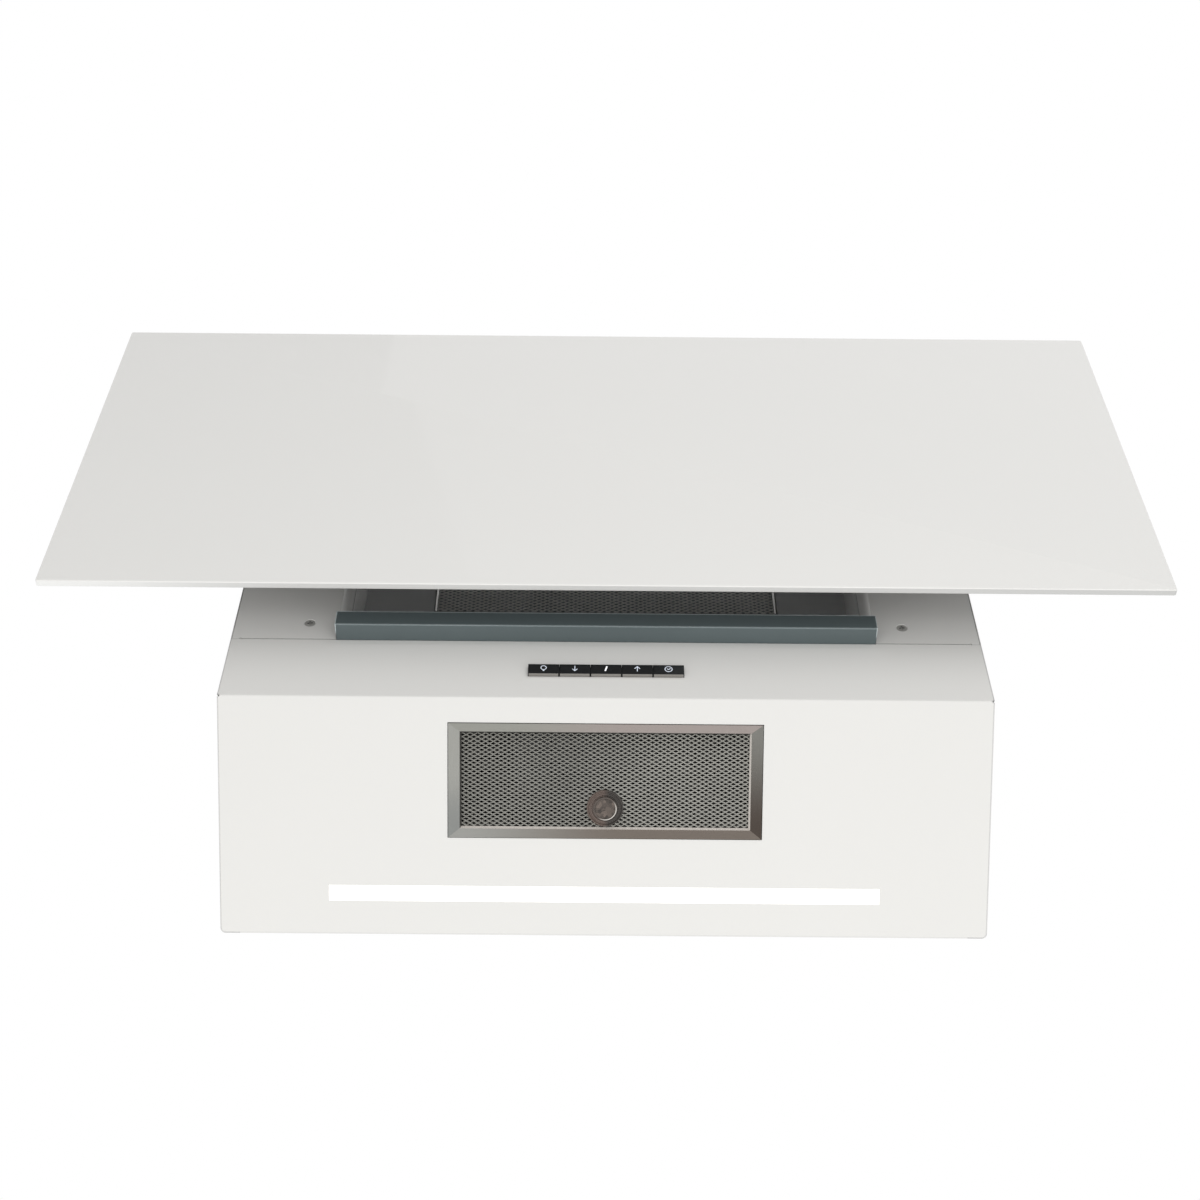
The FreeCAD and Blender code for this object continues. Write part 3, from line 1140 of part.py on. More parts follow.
def electronics_lid():
    """The lid of the wiring box."""
    x0 = -INSIDE
    top = BOX_LOW_Z + BOX_HEIGHT
    lid = block(x0, x0 + BOX_LENGTH, BOX_BACK_Y - BOX_WIDTH, BOX_BACK_Y, top, top + LID_THICKNESS)
    return rounded(lid, BOX_ROUND, lambda c: near(c.z, top + LID_THICKNESS / 2))


def capacitor():
    """The motor's run capacitor, on a stud in the right side panel."""
    end = INSIDE - CAPACITOR_STUD
    can = rod_x(CAPACITOR_RADIUS, end - CAPACITOR_LENGTH, end, CAPACITOR_Y, CAPACITOR_Z)
    can = rounded(can, CAPACITOR_ROUND, lambda c: near(c.x, end - CAPACITOR_LENGTH) or near(c.x, end))
    stud = rod_x(CAPACITOR_STUD_RADIUS, end, INSIDE, CAPACITOR_Y, CAPACITOR_Z)
    return fused([can, stud])


def mains_gland():
    """The cable gland in the top: a hexagon, a dome and a thread through the sheet."""
    corners = [Vector(GLAND_X + GLAND_HEX * math.cos(math.radians(60 * i)),
                      GLAND_Y + GLAND_HEX * math.sin(math.radians(60 * i)), BODY_HEIGHT) for i in range(6)]
    hexagon = Part.Face(Part.makePolygon(corners + corners[:1])).extrude(Vector(0, 0, GLAND_HEX_HEIGHT))
    dome_low = BODY_HEIGHT + GLAND_HEX_HEIGHT
    dome = Part.makeCone(GLAND_DOME_RADIUS, GLAND_DOME_TOP_RADIUS, GLAND_DOME_HEIGHT,
                         Vector(GLAND_X, GLAND_Y, dome_low), Z_AXIS)
    thread = rod_z(GLAND_THREAD_RADIUS, BODY_HEIGHT - GLAND_THREAD, BODY_HEIGHT, GLAND_X, GLAND_Y)
    bore = rod_z(GLAND_BORE, BODY_HEIGHT - GLAND_THREAD, dome_low + GLAND_DOME_HEIGHT, GLAND_X, GLAND_Y)
    return fused([hexagon, dome, thread]).cut(bore)


def filter_nodes(name, place, width, length, side_rail, end_rail, pitch_x, pitch_t):
    """All pieces of one filter, by node name."""
    return {
        name + "_filter_frame": filter_frame(place, width, length, side_rail, end_rail),
        name + "_filter_mesh": filter_mesh(place, width, length, side_rail, end_rail, pitch_x, pitch_t),
        name + "_filter_catch_plate": catch_plate(place, length),
        name + "_filter_catch": filter_catch(place, length),
        name + "_filter_hangers": filter_hangers(place, width),
    }


def all_nodes():
    """Every node's shape by name."""
    left_side, left_trim, left_arm, left_hinge = side_panel(), mouth_trim(), glass_arm(), hinge_bracket()
    right_blower = blower_half()
    nodes = {
        "left_side_panel": left_side,
        "right_side_panel": mirrored(left_side),
        "lower_shell": lower_shell(),
        "upper_front_panel": upper_front_panel(),
        "front_screws": front_screws(),
        "intake_surround": intake_surround(),
        "filter_wall": filter_wall(),
        "back_panel": back_panel(),
        "upper_wall_brackets": wall_bracket(FIXING_HIGH_Z),
        "lower_wall_brackets": wall_bracket(FIXING_LOW_Z),
        "top_panel": top_panel(),
        "drip_gutter": drip_gutter(),
        "left_mouth_trim": left_trim,
        "right_mouth_trim": mirrored(left_trim),
        "glass_panel": glass_panel(),
        "left_glass_arm": left_arm,
        "right_glass_arm": mirrored(left_arm),
        "left_hinge_bracket": left_hinge,
        "right_hinge_bracket": mirrored(left_hinge),
        "hinge_pins": hinge_pins(),
        "glass_magnets": glass_magnets(),
        "key_bezel": key_bezel(),
        "control_board": control_board(),
        "led_diffuser": led_diffuser(),
        "led_housing": led_housing(),
        "led_board": led_board(),
        "right_blower_half": right_blower,
        "left_blower_half": mirrored(right_blower),
        "impeller": impeller(),
        "motor_shaft": motor_shaft(),
        "motor": motor(),
        "motor_bracket": motor_bracket(),
        "blower_buffers": blower_buffers(),
        "outlet_adapter": outlet_adapter(),
        "outlet_collar": outlet_collar(),
        "collar_screws": collar_screws(),
        "flap_pin": flap_pin(),
        "room_side_flap": flap(-1),
        "wall_side_flap": flap(1),
        "electronics_box": electronics_box(),
        "electronics_lid": electronics_lid(),
        "capacitor": capacitor(),
        "mains_gland": mains_gland(),
    }
    nodes.update(filter_nodes("front", front_filter_place(), FRONT_FILTER_WIDTH, FRONT_FILTER_LENGTH,
                              FRONT_FILTER_SIDE_RAIL, FRONT_FILTER_END_RAIL, FRONT_MESH_PITCH_X,
                              FRONT_MESH_PITCH_T))
    nodes.update(filter_nodes("bottom", bottom_filter_place(), BOTTOM_FILTER_WIDTH, BOTTOM_FILTER_LENGTH,
                              BOTTOM_FILTER_SIDE_RAIL, BOTTOM_FILTER_END_RAIL, BOTTOM_MESH_PITCH_X,
                              BOTTOM_MESH_PITCH_T))
    key_names = ("light", "slower", "level", "faster", "timer")
    for name, x in zip(key_names, key_places()):
        nodes[name + "_key"] = key(x)
    return nodes


def report(name, shape):
    """Prints what was made, and says so where a shape isn't sound."""
    sound = shape.isValid() and all(s.Volume > 0 for s in shape.Solids)
    box = shape.BoundBox
    print("%-26s solids %2d  volume %10.0f  x %7.1f %7.1f  y %7.1f %7.1f  z %7.1f %7.1f%s" % (
        name, len(shape.Solids), shape.Volume, box.XMin, box.XMax, box.YMin, box.YMax, box.ZMin, box.ZMax,
        "" if sound else "  NOT SOUND"))


os.makedirs("parts", exist_ok=True)
for node_name, node_shape in all_nodes().items():
    report(node_name, node_shape)
    node_shape.exportStep("parts/" + node_name + ".step")
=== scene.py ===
"""Looks of a wall range hood: finishes, fine pieces, studio and camera.

Metres. x runs along the wall, y = 0 is the wall, the room is towards -y and z = 0 is the bottom face.
Places on the leaning front are given as (x, s, n): s is measured up along the front from its lower
edge and n straight out of it. Places on a filter are given as (x, t, d): t from its pivot edge to
its catch edge and d straight out of its face.
"""

import json
import logging
import math
from dataclasses import dataclass, replace
from enum import Enum
from typing import Callable, Iterable

import bpy
from mathutils import Matrix, Vector

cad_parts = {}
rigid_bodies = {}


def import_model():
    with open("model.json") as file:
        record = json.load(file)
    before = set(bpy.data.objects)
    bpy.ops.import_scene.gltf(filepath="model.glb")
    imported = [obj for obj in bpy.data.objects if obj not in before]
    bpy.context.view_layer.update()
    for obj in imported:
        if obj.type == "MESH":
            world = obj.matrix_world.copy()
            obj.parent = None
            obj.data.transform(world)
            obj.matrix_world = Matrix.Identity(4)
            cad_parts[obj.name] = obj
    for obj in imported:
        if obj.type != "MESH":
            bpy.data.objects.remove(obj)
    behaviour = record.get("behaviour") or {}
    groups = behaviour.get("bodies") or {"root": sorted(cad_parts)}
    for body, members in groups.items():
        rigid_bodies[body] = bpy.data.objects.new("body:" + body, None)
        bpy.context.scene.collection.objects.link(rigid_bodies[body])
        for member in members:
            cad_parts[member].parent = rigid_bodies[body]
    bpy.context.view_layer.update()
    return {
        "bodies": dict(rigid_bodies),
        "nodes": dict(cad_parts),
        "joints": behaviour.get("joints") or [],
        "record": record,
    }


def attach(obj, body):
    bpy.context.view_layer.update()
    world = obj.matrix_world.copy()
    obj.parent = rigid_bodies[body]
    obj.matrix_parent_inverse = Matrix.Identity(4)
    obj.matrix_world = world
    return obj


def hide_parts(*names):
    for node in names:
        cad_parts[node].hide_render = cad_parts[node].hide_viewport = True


LOG = logging.getLogger("range_hood")
MM = 0.001
LEAN = math.radians(30.0)
BOTTOM_DEPTH = 188.0 * MM
TINY = MM / 100
SMOOTH_BELOW = math.radians(35.0)

# Directions that a drift of tone follows; most drifts paint a change of light across a part
RIGHTWARDS = (1, 0, 0)
WALLWARDS = (0, 1, 0)
UPWARDS = (0, 0, 1)
OUT_OF_FRONT = (0, -0.866, -0.5)
TOWARDS_CATCH_HIGHLIGHT = (0.75, 0.66, 0)

# Sockets of the shared effects that carry a vector
VECTOR_SOCKETS = ("Place", "Direction", "Stretch", "Normal")

# How often a brushed pattern repeats along x, y and z, in a metre
ALONG_X = (60.0, 4000.0, 4000.0)
ALONG_Y = (4000.0, 60.0, 4000.0)

Rgb = tuple[int, int, int]
Triple = tuple[float, float, float]
Point = Vector | Triple
Test = Callable[[Vector, Vector], bool]


def linear(red: int, green: int, blue: int) -> tuple[float, float, float, float]:
    """Turns a colour seen on a screen into the linear values that a shader takes.

    Args:
        red: Red, 0 to 255.
        green: Green, 0 to 255.
        blue: Blue, 0 to 255.

    Returns:
        Linear red, green, blue and an alpha of 1.
    """
    parts = []
    for value in (red, green, blue):
        share = value / 255
        parts.append(share / 12.92 if share <= 0.04045 else ((share + 0.055) / 1.055) ** 2.4)
    return parts[0], parts[1], parts[2], 1.0


def front_place(s: float = 0.0, n: float = 0.0) -> Matrix:
    """Gives the matrix from (x, s, n), with its origin moved by s and n, to the part's frame."""
    turn = Matrix.Rotation(math.radians(90) + LEAN, 4, "X")
    return Matrix.Translation((0, -BOTTOM_DEPTH, 0)) @ turn @ Matrix.Translation((0, s, n))


class Wiring:
    """A node tree under construction, with short calls for its nodes."""

    def __init__(self, tree: bpy.types.NodeTree) -> None:
        """Starts on the tree that gets the nodes."""
        self.tree = tree

    def feed(self, target: bpy.types.NodeSocket, value: object) -> None:
        """Gives an input a value, or links it to another socket.

        Args:
            target: The input.
            value: A value or a socket.
        """
        if isinstance(value, bpy.types.NodeSocket):
            self.tree.links.new(value, target)
        else:
            target.default_value = value

    def node(self, kind: str, feeds: dict[str | int, object], **settings: object) -> bpy.types.NodeOutputs:
        """Adds a node, sets its properties and feeds its inputs.

        Args:
            kind: The node's type name after ShaderNode.
            feeds: A value or a socket for each input, by its name or its place.
            settings: Properties to set.

        Returns:
            The node's outputs.
        """
        made = self.tree.nodes.new("ShaderNode" + kind)
        for name, value in settings.items():
            setattr(made, name, value)
        for name, value in feeds.items():
            self.feed(made.inputs[name], value)
        return made.outputs

    def math(self, operation: str, *values: object) -> bpy.types.NodeSocket:
        """Adds a math node for values or sockets in the order of its inputs, and gives its result."""
        return self.node("Math", dict(enumerate(values)), operation=operation)[0]


class Shading(Wiring):
    """A material under construction."""

    def __init__(self, name: str) -> None:
        """Starts a material with a Principled shader.

        Args:
            name: The material's name.
        """
        self.material = bpy.data.materials.new(name)
        self.material.use_nodes = True
        super().__init__(self.material.node_tree)
        self.shader = self.tree.nodes["Principled BSDF"]
        self.place = self.node("TexCoord", {})["Object"]

    def put(self, **values: object) -> None:
        """Feeds the shader's own inputs, with _ for each space in an input's name."""
        for name, value in values.items():
            self.feed(self.shader.inputs[name.replace("_", " ")], value)

    def group(self, kind: "Effect", **values: object) -> bpy.types.NodeOutputs:
        """Places a shared effect, feeds its inputs by name and gives its outputs."""
        feeds = {name.replace("_", " "): value for name, value in values.items()}
        return self.node("Group", {"Place": self.place, **feeds}, node_tree=EFFECTS.tree(kind))

    def mix(self, share: object, first: object, second: object) -> bpy.types.NodeSocket:
        """Mixes the second colour into the first by a share, each a value or a socket."""
        return self.node("Mix", {0: share, 6: first, 7: second}, data_type="RGBA")[2]

    def tone(self, color: Rgb, drift: "Drift | None") -> object:
        """Gives a colour, or the socket of its mix where it drifts to another one.

        Args:
            color: The colour where the drift starts.
            drift: The other colour and the way to it.

        Returns:
            A colour or a socket.
        """
        if drift is None:
            return linear(*color)
        way = self.group(Effect.DRIFT, Direction=drift.direction, Start=drift.start, End=drift.end)
        return self.mix(way["Share"], linear(*color), linear(*drift.color))


@dataclass(frozen=True)
class Drift:
    """A second colour that a finish turns to along a direction."""

    color: Rgb
    direction: Triple
    start: float
    end: float


class Effect(Enum):
    """Surface effects that several finishes share."""

    GRAIN = "fine_grain"
    BRUSH = "brushed_lines"
    EDGE = "edge_line"
    DRIFT = "tone_drift"
    SPANGLE = "zinc_spangle"


class Group(Wiring):
    """A node group under construction, with a place as its first input."""

    def __init__(self, kind: Effect, outputs: Iterable[str], **inputs: object) -> None:
        """Makes an empty group with named sockets.

        Args:
            kind: The effect that the group is for.
            outputs: The names of the outputs.
            inputs: The default of each input, with _ for each space in its name.
        """
        super().__init__(bpy.data.node_groups.new(kind.value, "ShaderNodeTree"))
        self.socket("Place", "INPUT")
        for name, value in inputs.items():
            self.socket(name.replace("_", " "), "INPUT").default_value = value
        for name in outputs:
            self.socket(name, "OUTPUT")
        self.given = self.tree.nodes.new("NodeGroupInput").outputs
        self.results = self.tree.nodes.new("NodeGroupOutput").inputs

    def socket(self, name: str, way: str) -> bpy.types.NodeTreeInterfaceSocket:
        """Adds an INPUT or OUTPUT socket of the kind that its name asks for."""
        kind = "Color" if name == "Color" else "Vector" if name in VECTOR_SOCKETS else "Float"
        return self.tree.interface.new_socket(name, in_out=way, socket_type="NodeSocket" + kind)

    def finish(self, **sources: bpy.types.NodeSocket) -> bpy.types.NodeTree:
        """Links the outputs.

        Args:
            sources: The socket that feeds each output.

        Returns:
            The group.
        """
        for name, source in sources.items():
            self.feed(self.results[name], source)
        return self.tree


class Effects:
    """Builds each shared effect once, as a node group."""

    def __init__(self) -> None:
        """Starts with no groups."""
        self.trees: dict[Effect, bpy.types.NodeTree] = {}

    def tree(self, kind: Effect) -> bpy.types.NodeTree:
        """Gives the group of an effect and builds it on first use.

        Args:
            kind: Which effect.

        Returns:
            The node group.
        """
        if kind not in self.trees:
            builders = {Effect.GRAIN: self.grain, Effect.BRUSH: self.brush, Effect.EDGE: self.edge,
                        Effect.DRIFT: self.drift, Effect.SPANGLE: self.spangle}
            self.trees[kind] = builders[kind]()
        return self.trees[kind]

    @staticmethod
    def grain() -> bpy.types.NodeTree:
        """Fine bumps of a painted or moulded surface, with a slow drift of tone.

        Returns:
            The node group.
        """
        group = Group(Effect.GRAIN, ("Color", "Roughness", "Normal"), Scale=1500.0, Height=0.02,
                      Roughness=0.4, Roughness_Drift=0.05, Color=(0.8, 0.8, 0.8, 1.0), Tone_Drift=0.02)
        given = group.given
        fine = group.node("TexNoise", {"Vector": given["Place"], "Scale": given["Scale"], "Detail": 3.0})
        slow = group.node("TexNoise", {"Vector": given["Place"], "Scale": 9.0, "Detail": 2.0})
        bump = group.node("Bump", {"Height": fine["Fac"], "Strength": given["Height"], "Distance": 0.2 * MM})
        centred = group.math("SUBTRACT", slow["Fac"], 0.5)
        rough = group.math("MULTIPLY_ADD", centred, given["Roughness Drift"], given["Roughness"])
        tone = group.math("MULTIPLY_ADD", centred, given["Tone Drift"], 1.0)
        shade = group.node("HueSaturation", {"Value": tone, "Color": given["Color"]})
        return group.finish(Color=shade["Color"], Roughness=rough, Normal=bump["Normal"])

    @staticmethod
    def brush() -> bpy.types.NodeTree:
        """Fine lines of a brushed metal, stretched by the given scale along each axis.

        Returns:
            The node group.
        """
        group = Group(Effect.BRUSH, ("Color", "Roughness", "Normal"), Stretch=ALONG_X, Height=0.1,
                      Roughness=0.35, Color=(0.6, 0.6, 0.6, 1.0), Contrast=0.15)
        given = group.given
        stretch = group.node("VectorMath", {0: given["Place"], 1: given["Stretch"]}, operation="MULTIPLY")
        streaks = group.node("TexNoise", {"Vector": stretch[0], "Scale": 1.0, "Detail": 4.0})
        bump = group.node("Bump", {"Height": streaks["Fac"], "Strength": given["Height"],
                                   "Distance": 0.1 * MM})
        centred = group.math("SUBTRACT", streaks["Fac"], 0.5)
        tone = group.math("MULTIPLY_ADD", centred, given["Contrast"], 1.0)
        rough = group.math("MULTIPLY_ADD", centred, 0.25, given["Roughness"])
        shade = group.node("HueSaturation", {"Value": tone, "Color": given["Color"]})
        return group.finish(Color=shade["Color"], Roughness=rough, Normal=bump["Normal"])

    @staticmethod
    def edge() -> bpy.types.NodeTree:
        """A mask that is 1 on sharp edges within the given width and 0 on flat faces.

        Returns:
            The node group.
        """
        group = Group(Effect.EDGE, ("Mask",), Width=0.6 * MM, Gain=3.0)
        soft = group.node("Bevel", {"Radius": group.given["Width"]}, samples=8)
        flat = group.node("NewGeometry", {})
        same = group.node("VectorMath", {0: soft["Normal"], 1: flat["True Normal"]}, operation="DOT_PRODUCT")
        turned = group.math("SUBTRACT", 1.0, same["Value"])
        mask = group.node("Math", {0: turned, 1: group.given["Gain"]}, operation="MULTIPLY", use_clamp=True)
        return group.finish(Mask=mask[0])

    @staticmethod
    def drift() -> bpy.types.NodeTree:
        """A share that goes softly from 0 to 1 between two places along a direction.

        Returns:
            The node group.
        """
        group = Group(Effect.DRIFT, ("Share",), Direction=RIGHTWARDS, Start=0.0, End=0.1)
        given = group.given
        along = group.node("VectorMath", {0: given["Place"], 1: given["Direction"]}, operation="DOT_PRODUCT")
        share = group.node("MapRange", {"Value": along["Value"], "From Min": given["Start"],
                                        "From Max": given["End"]}, interpolation_type="SMOOTHSTEP")
        return group.finish(Share=share["Result"])

    @staticmethod
    def spangle() -> bpy.types.NodeTree:
        """Patches like zinc crystals, as a value from 0 to 1.

        Returns:
            The node group.
        """
        group = Group(Effect.SPANGLE, ("Value",), Scale=70.0)
        cells = group.node("TexVoronoi", {"Vector": group.given["Place"], "Scale": group.given["Scale"],
                                          "Randomness": 1.0})
        grey = group.node("RGBToBW", {"Color": cells["Color"]})
        return group.finish(Value=grey["Val"])


EFFECTS = Effects()


@dataclass(frozen=True)
class Coat:
    """A painted or moulded surface of one colour with a fine grain."""

    name: str
    color: Rgb
    roughness: float = 0.4
    grain: float = 1500.0
    bump: float = 0.05
    tone: float = 0.03
    # drift and the edge colours carry painted light and shade on most finishes: tone changing across a part,
    # darker or lighter sharp edges
    drift: Drift | None = None
    edge: Rgb | None = None
    edge_drift: Drift | None = None
    edge_width: float = 0.6 * MM
    edge_gain: float = 3.0
    gloss: float = 0.0
    gloss_roughness: float = 0.03
    metal: float = 0.0
    shine: float = 0.5
    glow: float = 0.0

    def build(self) -> bpy.types.Material:
        """Makes the material.

        Returns:
            The material.
        """
        made = Shading(self.name)
        base = made.group(Effect.GRAIN, Scale=self.grain, Height=self.bump, Roughness=self.roughness,
                          Color=made.tone(self.color, self.drift), Tone_Drift=self.tone)
        color = base["Color"]
        if self.edge:
            rim = made.group(Effect.EDGE, Width=self.edge_width, Gain=self.edge_gain)
            color = made.mix(rim["Mask"], color, made.tone(self.edge, self.edge_drift))
        made.put(Base_Color=color, Roughness=base["Roughness"], Normal=base["Normal"],
                 Coat_Weight=self.gloss, Coat_Roughness=self.gloss_roughness, Metallic=self.metal,
                 Specular_IOR_Level=self.shine)
        if self.glow:
            made.put(Emission_Color=color, Emission_Strength=self.glow)
        return made.material


@dataclass(frozen=True)
class Brushed:
    """A bare metal with fine lines along one axis."""

    name: str
    color: Rgb
    roughness: float = 0.35
    stretch: Triple = ALONG_X
    contrast: float = 0.2
    drift: Drift | None = None

    def build(self) -> bpy.types.Material:
        """Makes the material.

        Returns:
            The material.
        """
        made = Shading(self.name)
        base = made.group(Effect.BRUSH, Stretch=self.stretch, Color=made.tone(self.color, self.drift),
                          Roughness=self.roughness, Contrast=self.contrast)
        made.put(Base_Color=base["Color"], Roughness=base["Roughness"], Normal=base["Normal"], Metallic=1.0)
        return made.material


@dataclass(frozen=True)
class Mottled:
    """A surface with dark and light patches, such as worn plastic or zinc-coated sheet."""

    name: str
    dark: Rgb
    light: Rgb
    scale: float
    roughness: float
    bump: float
    tone: float
    grain: float = 900.0
    metal: float = 0.0

    def build(self) -> bpy.types.Material:
        """Makes the material.

        Returns:
            The material.
        """
        made = Shading(self.name)
        patches = made.group(Effect.SPANGLE, Scale=self.scale)
        color = made.mix(patches["Value"], linear(*self.dark), linear(*self.light))
        base = made.group(Effect.GRAIN, Scale=self.grain, Height=self.bump, Roughness=self.roughness,
                          Color=color, Tone_Drift=self.tone)
        made.put(Base_Color=base["Color"], Roughness=base["Roughness"], Normal=base["Normal"],
                 Metallic=self.metal)
        return made.material


Finish = Coat | Brushed | Mottled

# White enamel; its sharp edges are painted a little darker, painted shade along the folds
WHITE_ENAMEL = Coat("white_enamel", (231, 230, 227), roughness=0.38, grain=1200, bump=0.06, tone=0.015,
                    edge=(204, 204, 203))
# The upper front panel's sharp edges, seam and openings among them, are painted dark: painted shade in the
# gaps beside them
PANEL_ENAMEL = replace(WHITE_ENAMEL, name="panel_enamel", edge=(84, 84, 84), edge_width=0.8 * MM,
                       edge_gain=5.0)
# Side panels' front edges painted grey, and dark above the seam's height: painted shade along the joint with
# the front
SIDE_ENAMEL = replace(WHITE_ENAMEL, name="side_enamel", edge=(172, 172, 172),
                      edge_drift=Drift((70, 70, 70), UPWARDS, 72.5 * MM, 74.5 * MM),
                      edge_width=1.2 * MM, edge_gain=6.0)
# Mouth trims: a darker copy of the white enamel with dark edges, painted shade inside the mouth
SHADED_TRIM_ENAMEL = replace(WHITE_ENAMEL, name="shaded_trim_enamel", color=(196, 196, 194), edge=(120, 120, 118),
                      edge_width=1.1 * MM, edge_gain=6.0)
# Intake surround: a lighter copy of the white enamel, painted light on its shaded cheeks
LIT_MOUTH_ENAMEL = replace(WHITE_ENAMEL, name="lit_mouth_enamel", color=(248, 248, 246), tone=0.02, edge=None)
# Recess wall: a grey a little darker than the white enamel, set to the tone of the shaded recess, so part of
# it is painted shade
INNER_ENAMEL = Coat("inner_enamel", (210, 211, 212), roughness=0.45, grain=1400, bump=0.06, tone=0.05)
# Dark teal-grey gutter; edges near the panel are painted dark (painted shade), outer edges bright (a painted
# highlight)
GUTTER_ENAMEL = Coat("gutter_enamel", (98, 109, 111), roughness=0.35, grain=1400, bump=0.06, tone=0.06,
                     edge=(70, 76, 77), edge_drift=Drift((226, 236, 238), OUT_OF_FRONT, 167 * MM, 173 * MM),
                     edge_width=1.5 * MM, edge_gain=9.0, metal=0.3)
WHITE_GLASS = Coat("back_painted_glass", (244, 243, 240), roughness=0.55, grain=300, bump=0.0, tone=0.01,
                   gloss=1.0)
GLASS_BACK = Coat("glass_back_paint", (140, 140, 139), roughness=0.6, grain=1100, bump=0.05, tone=0.03)
GLASS_EDGE = Coat("ground_glass_edge", (242, 242, 240), roughness=0.3, grain=2500, bump=0.1, tone=0.03,
                  drift=Drift((204, 204, 202), RIGHTWARDS, -460 * MM, -220 * MM))
OPAL = Coat("opal_cover", (252, 252, 250), roughness=0.5, grain=500, bump=0.0, tone=0.01, glow=0.6)
# Black keys, painted lighter towards the right-hand end as a painted sheen
KEY_FACE = Coat("key_face", (26, 27, 28), roughness=0.3, grain=2500, bump=0.05, tone=0.05, shine=0.12,
                drift=Drift((40, 42, 43), RIGHTWARDS, 34 * MM, 56 * MM))
# Key undersides: the same black plastic painted light grey for the light they catch
LIT_KEY_UNDERSIDE = Coat("lit_key_underside", (139, 136, 131), roughness=0.45, grain=2200, bump=0.06, tone=0.04)
# Printed key marks given a faint glow, the level mark more: painted light
KEY_MARK = Coat("key_mark", (230, 238, 250), roughness=0.5, grain=3000, bump=0.02, tone=0.03, glow=0.2)
LEVEL_MARK = replace(KEY_MARK, name="level_mark", color=(246, 247, 249), tone=0.02, glow=0.5)
# Catch ring: painted lighter at its left and darker at its right (painted light and shade), darker along its
# edges
CATCH_RING = Coat("catch_ring", (112, 98, 91), roughness=0.5, grain=700, bump=0.15, tone=0.3,
                  drift=Drift((72, 68, 65), RIGHTWARDS, -3 * MM, 4 * MM), edge=(52, 50, 48),
                  edge_width=0.5 * MM, edge_gain=5.0)
CATCH_FACE = Mottled("catch_face", (44, 41, 39), (118, 106, 98), scale=420.0, roughness=0.45, bump=0.3,
                     tone=0.2)
# The button's lip: dark, with a painted highlight on the side towards the light
CATCH_LIP_HIGHLIGHT = Coat("catch_lip_highlight", (92, 84, 79), roughness=0.35, grain=1600, bump=0.1, tone=0.1,
                 drift=Drift((200, 196, 190), TOWARDS_CATCH_HIGHLIGHT, -67 * MM, -60 * MM))
BLACK_PLASTIC = Coat("black_plastic", (38, 38, 39), roughness=0.5, grain=2200, bump=0.12, tone=0.06)
GREY_PLASTIC = Coat("grey_plastic", (168, 170, 172), roughness=0.5, grain=1800, bump=0.12, tone=0.05)
RUBBER = Coat("buffer_rubber", (44, 44, 44), roughness=0.8, grain=1500, bump=0.15, tone=0.08)
LAMINATE = Coat("board_laminate", (38, 92, 58), roughness=0.35, grain=900, bump=0.05, tone=0.12)
MOTOR_METAL = Coat("motor_casting", (168, 170, 172), roughness=0.5, grain=1600, bump=0.2, tone=0.08,
                   metal=0.8)
SCREW_HEAD = Coat("screw_head", (184, 183, 179), roughness=0.4, grain=2600, bump=0.1, tone=0.08, metal=0.3)
# Screw slot: the head's metal painted dark, painted shade in the recess
SHADED_SCREW_SLOT = Coat("shaded_screw_slot", (58, 61, 60), roughness=0.5, grain=2600, bump=0.1, tone=0.05)
BRIGHT_STEEL = Brushed("bright_steel", (190, 190, 190), roughness=0.28, stretch=(900.0, 900.0, 3000.0),
                       contrast=0.15)
FILTER_ALUMINIUM = Brushed("filter_aluminium", (176, 172, 168))
# Bottom filter rails: one aluminium, each with its own tone and drift, which are painted reflections and
# light
PIVOT_RAIL = Brushed("pivot_rail", (203, 203, 195), stretch=ALONG_X,
                     drift=Drift((214, 202, 197), RIGHTWARDS, -80 * MM, 20 * MM))
CATCH_RAIL = Brushed("catch_rail", (210, 210, 205), stretch=ALONG_X,
                     drift=Drift((160, 149, 140), RIGHTWARDS, -125 * MM, 20 * MM))
LEFT_RAIL = Brushed("left_rail", (214, 214, 208), stretch=ALONG_Y,
                    drift=Drift((189, 191, 188), WALLWARDS, -130 * MM, -90 * MM))
RIGHT_RAIL = Brushed("right_rail", (172, 171, 165), stretch=ALONG_Y,
                     drift=Drift((111, 101, 94), WALLWARDS, -168 * MM, -85 * MM))
SHADED_LIP = Coat("shaded_lip", (66, 65, 62), roughness=0.45, grain=2400, bump=0.05, tone=0.05)
LIT_LIP = Coat("lit_lip", (226, 219, 212), roughness=0.4, grain=2400, bump=0.05, tone=0.04)
FRONT_RAIL = Coat("front_rail", (150, 150, 149), roughness=0.35, grain=2400, bump=0.05, tone=0.02)
FRONT_LIP = Brushed("front_lip", (232, 232, 230), roughness=0.16, stretch=ALONG_X, contrast=0.1)
# Upper mesh layer, painted lighter towards the right as painted light on the strands
MESH_ALUMINIUM = Coat("mesh_aluminium", (209, 208, 203), roughness=0.4, grain=900, bump=0.1, tone=0.35,
                      metal=0.9, drift=Drift((222, 221, 216), RIGHTWARDS, -60 * MM, 60 * MM))
# Mesh layer beneath: a darker copy of the mesh finish, painted shade under the upper layer
SHADED_UNDER_MESH = Coat("under_mesh", (88, 87, 84), roughness=0.45, grain=900, bump=0.1, tone=0.3, metal=0.9)
# Front mesh: a lighter, nearly non-metal copy of the mesh finish, painted light that lifts it in the shade
# behind the glass
FRONT_MESH = Coat("shaded_mesh", (236, 236, 234), roughness=0.45, grain=900, bump=0.1, tone=0.25, metal=0.2)
ZINC_STEEL = Mottled("zinc_steel", (176, 179, 182), (206, 208, 210), scale=70.0, roughness=0.42, bump=0.08,
                     tone=0.06, metal=0.85)

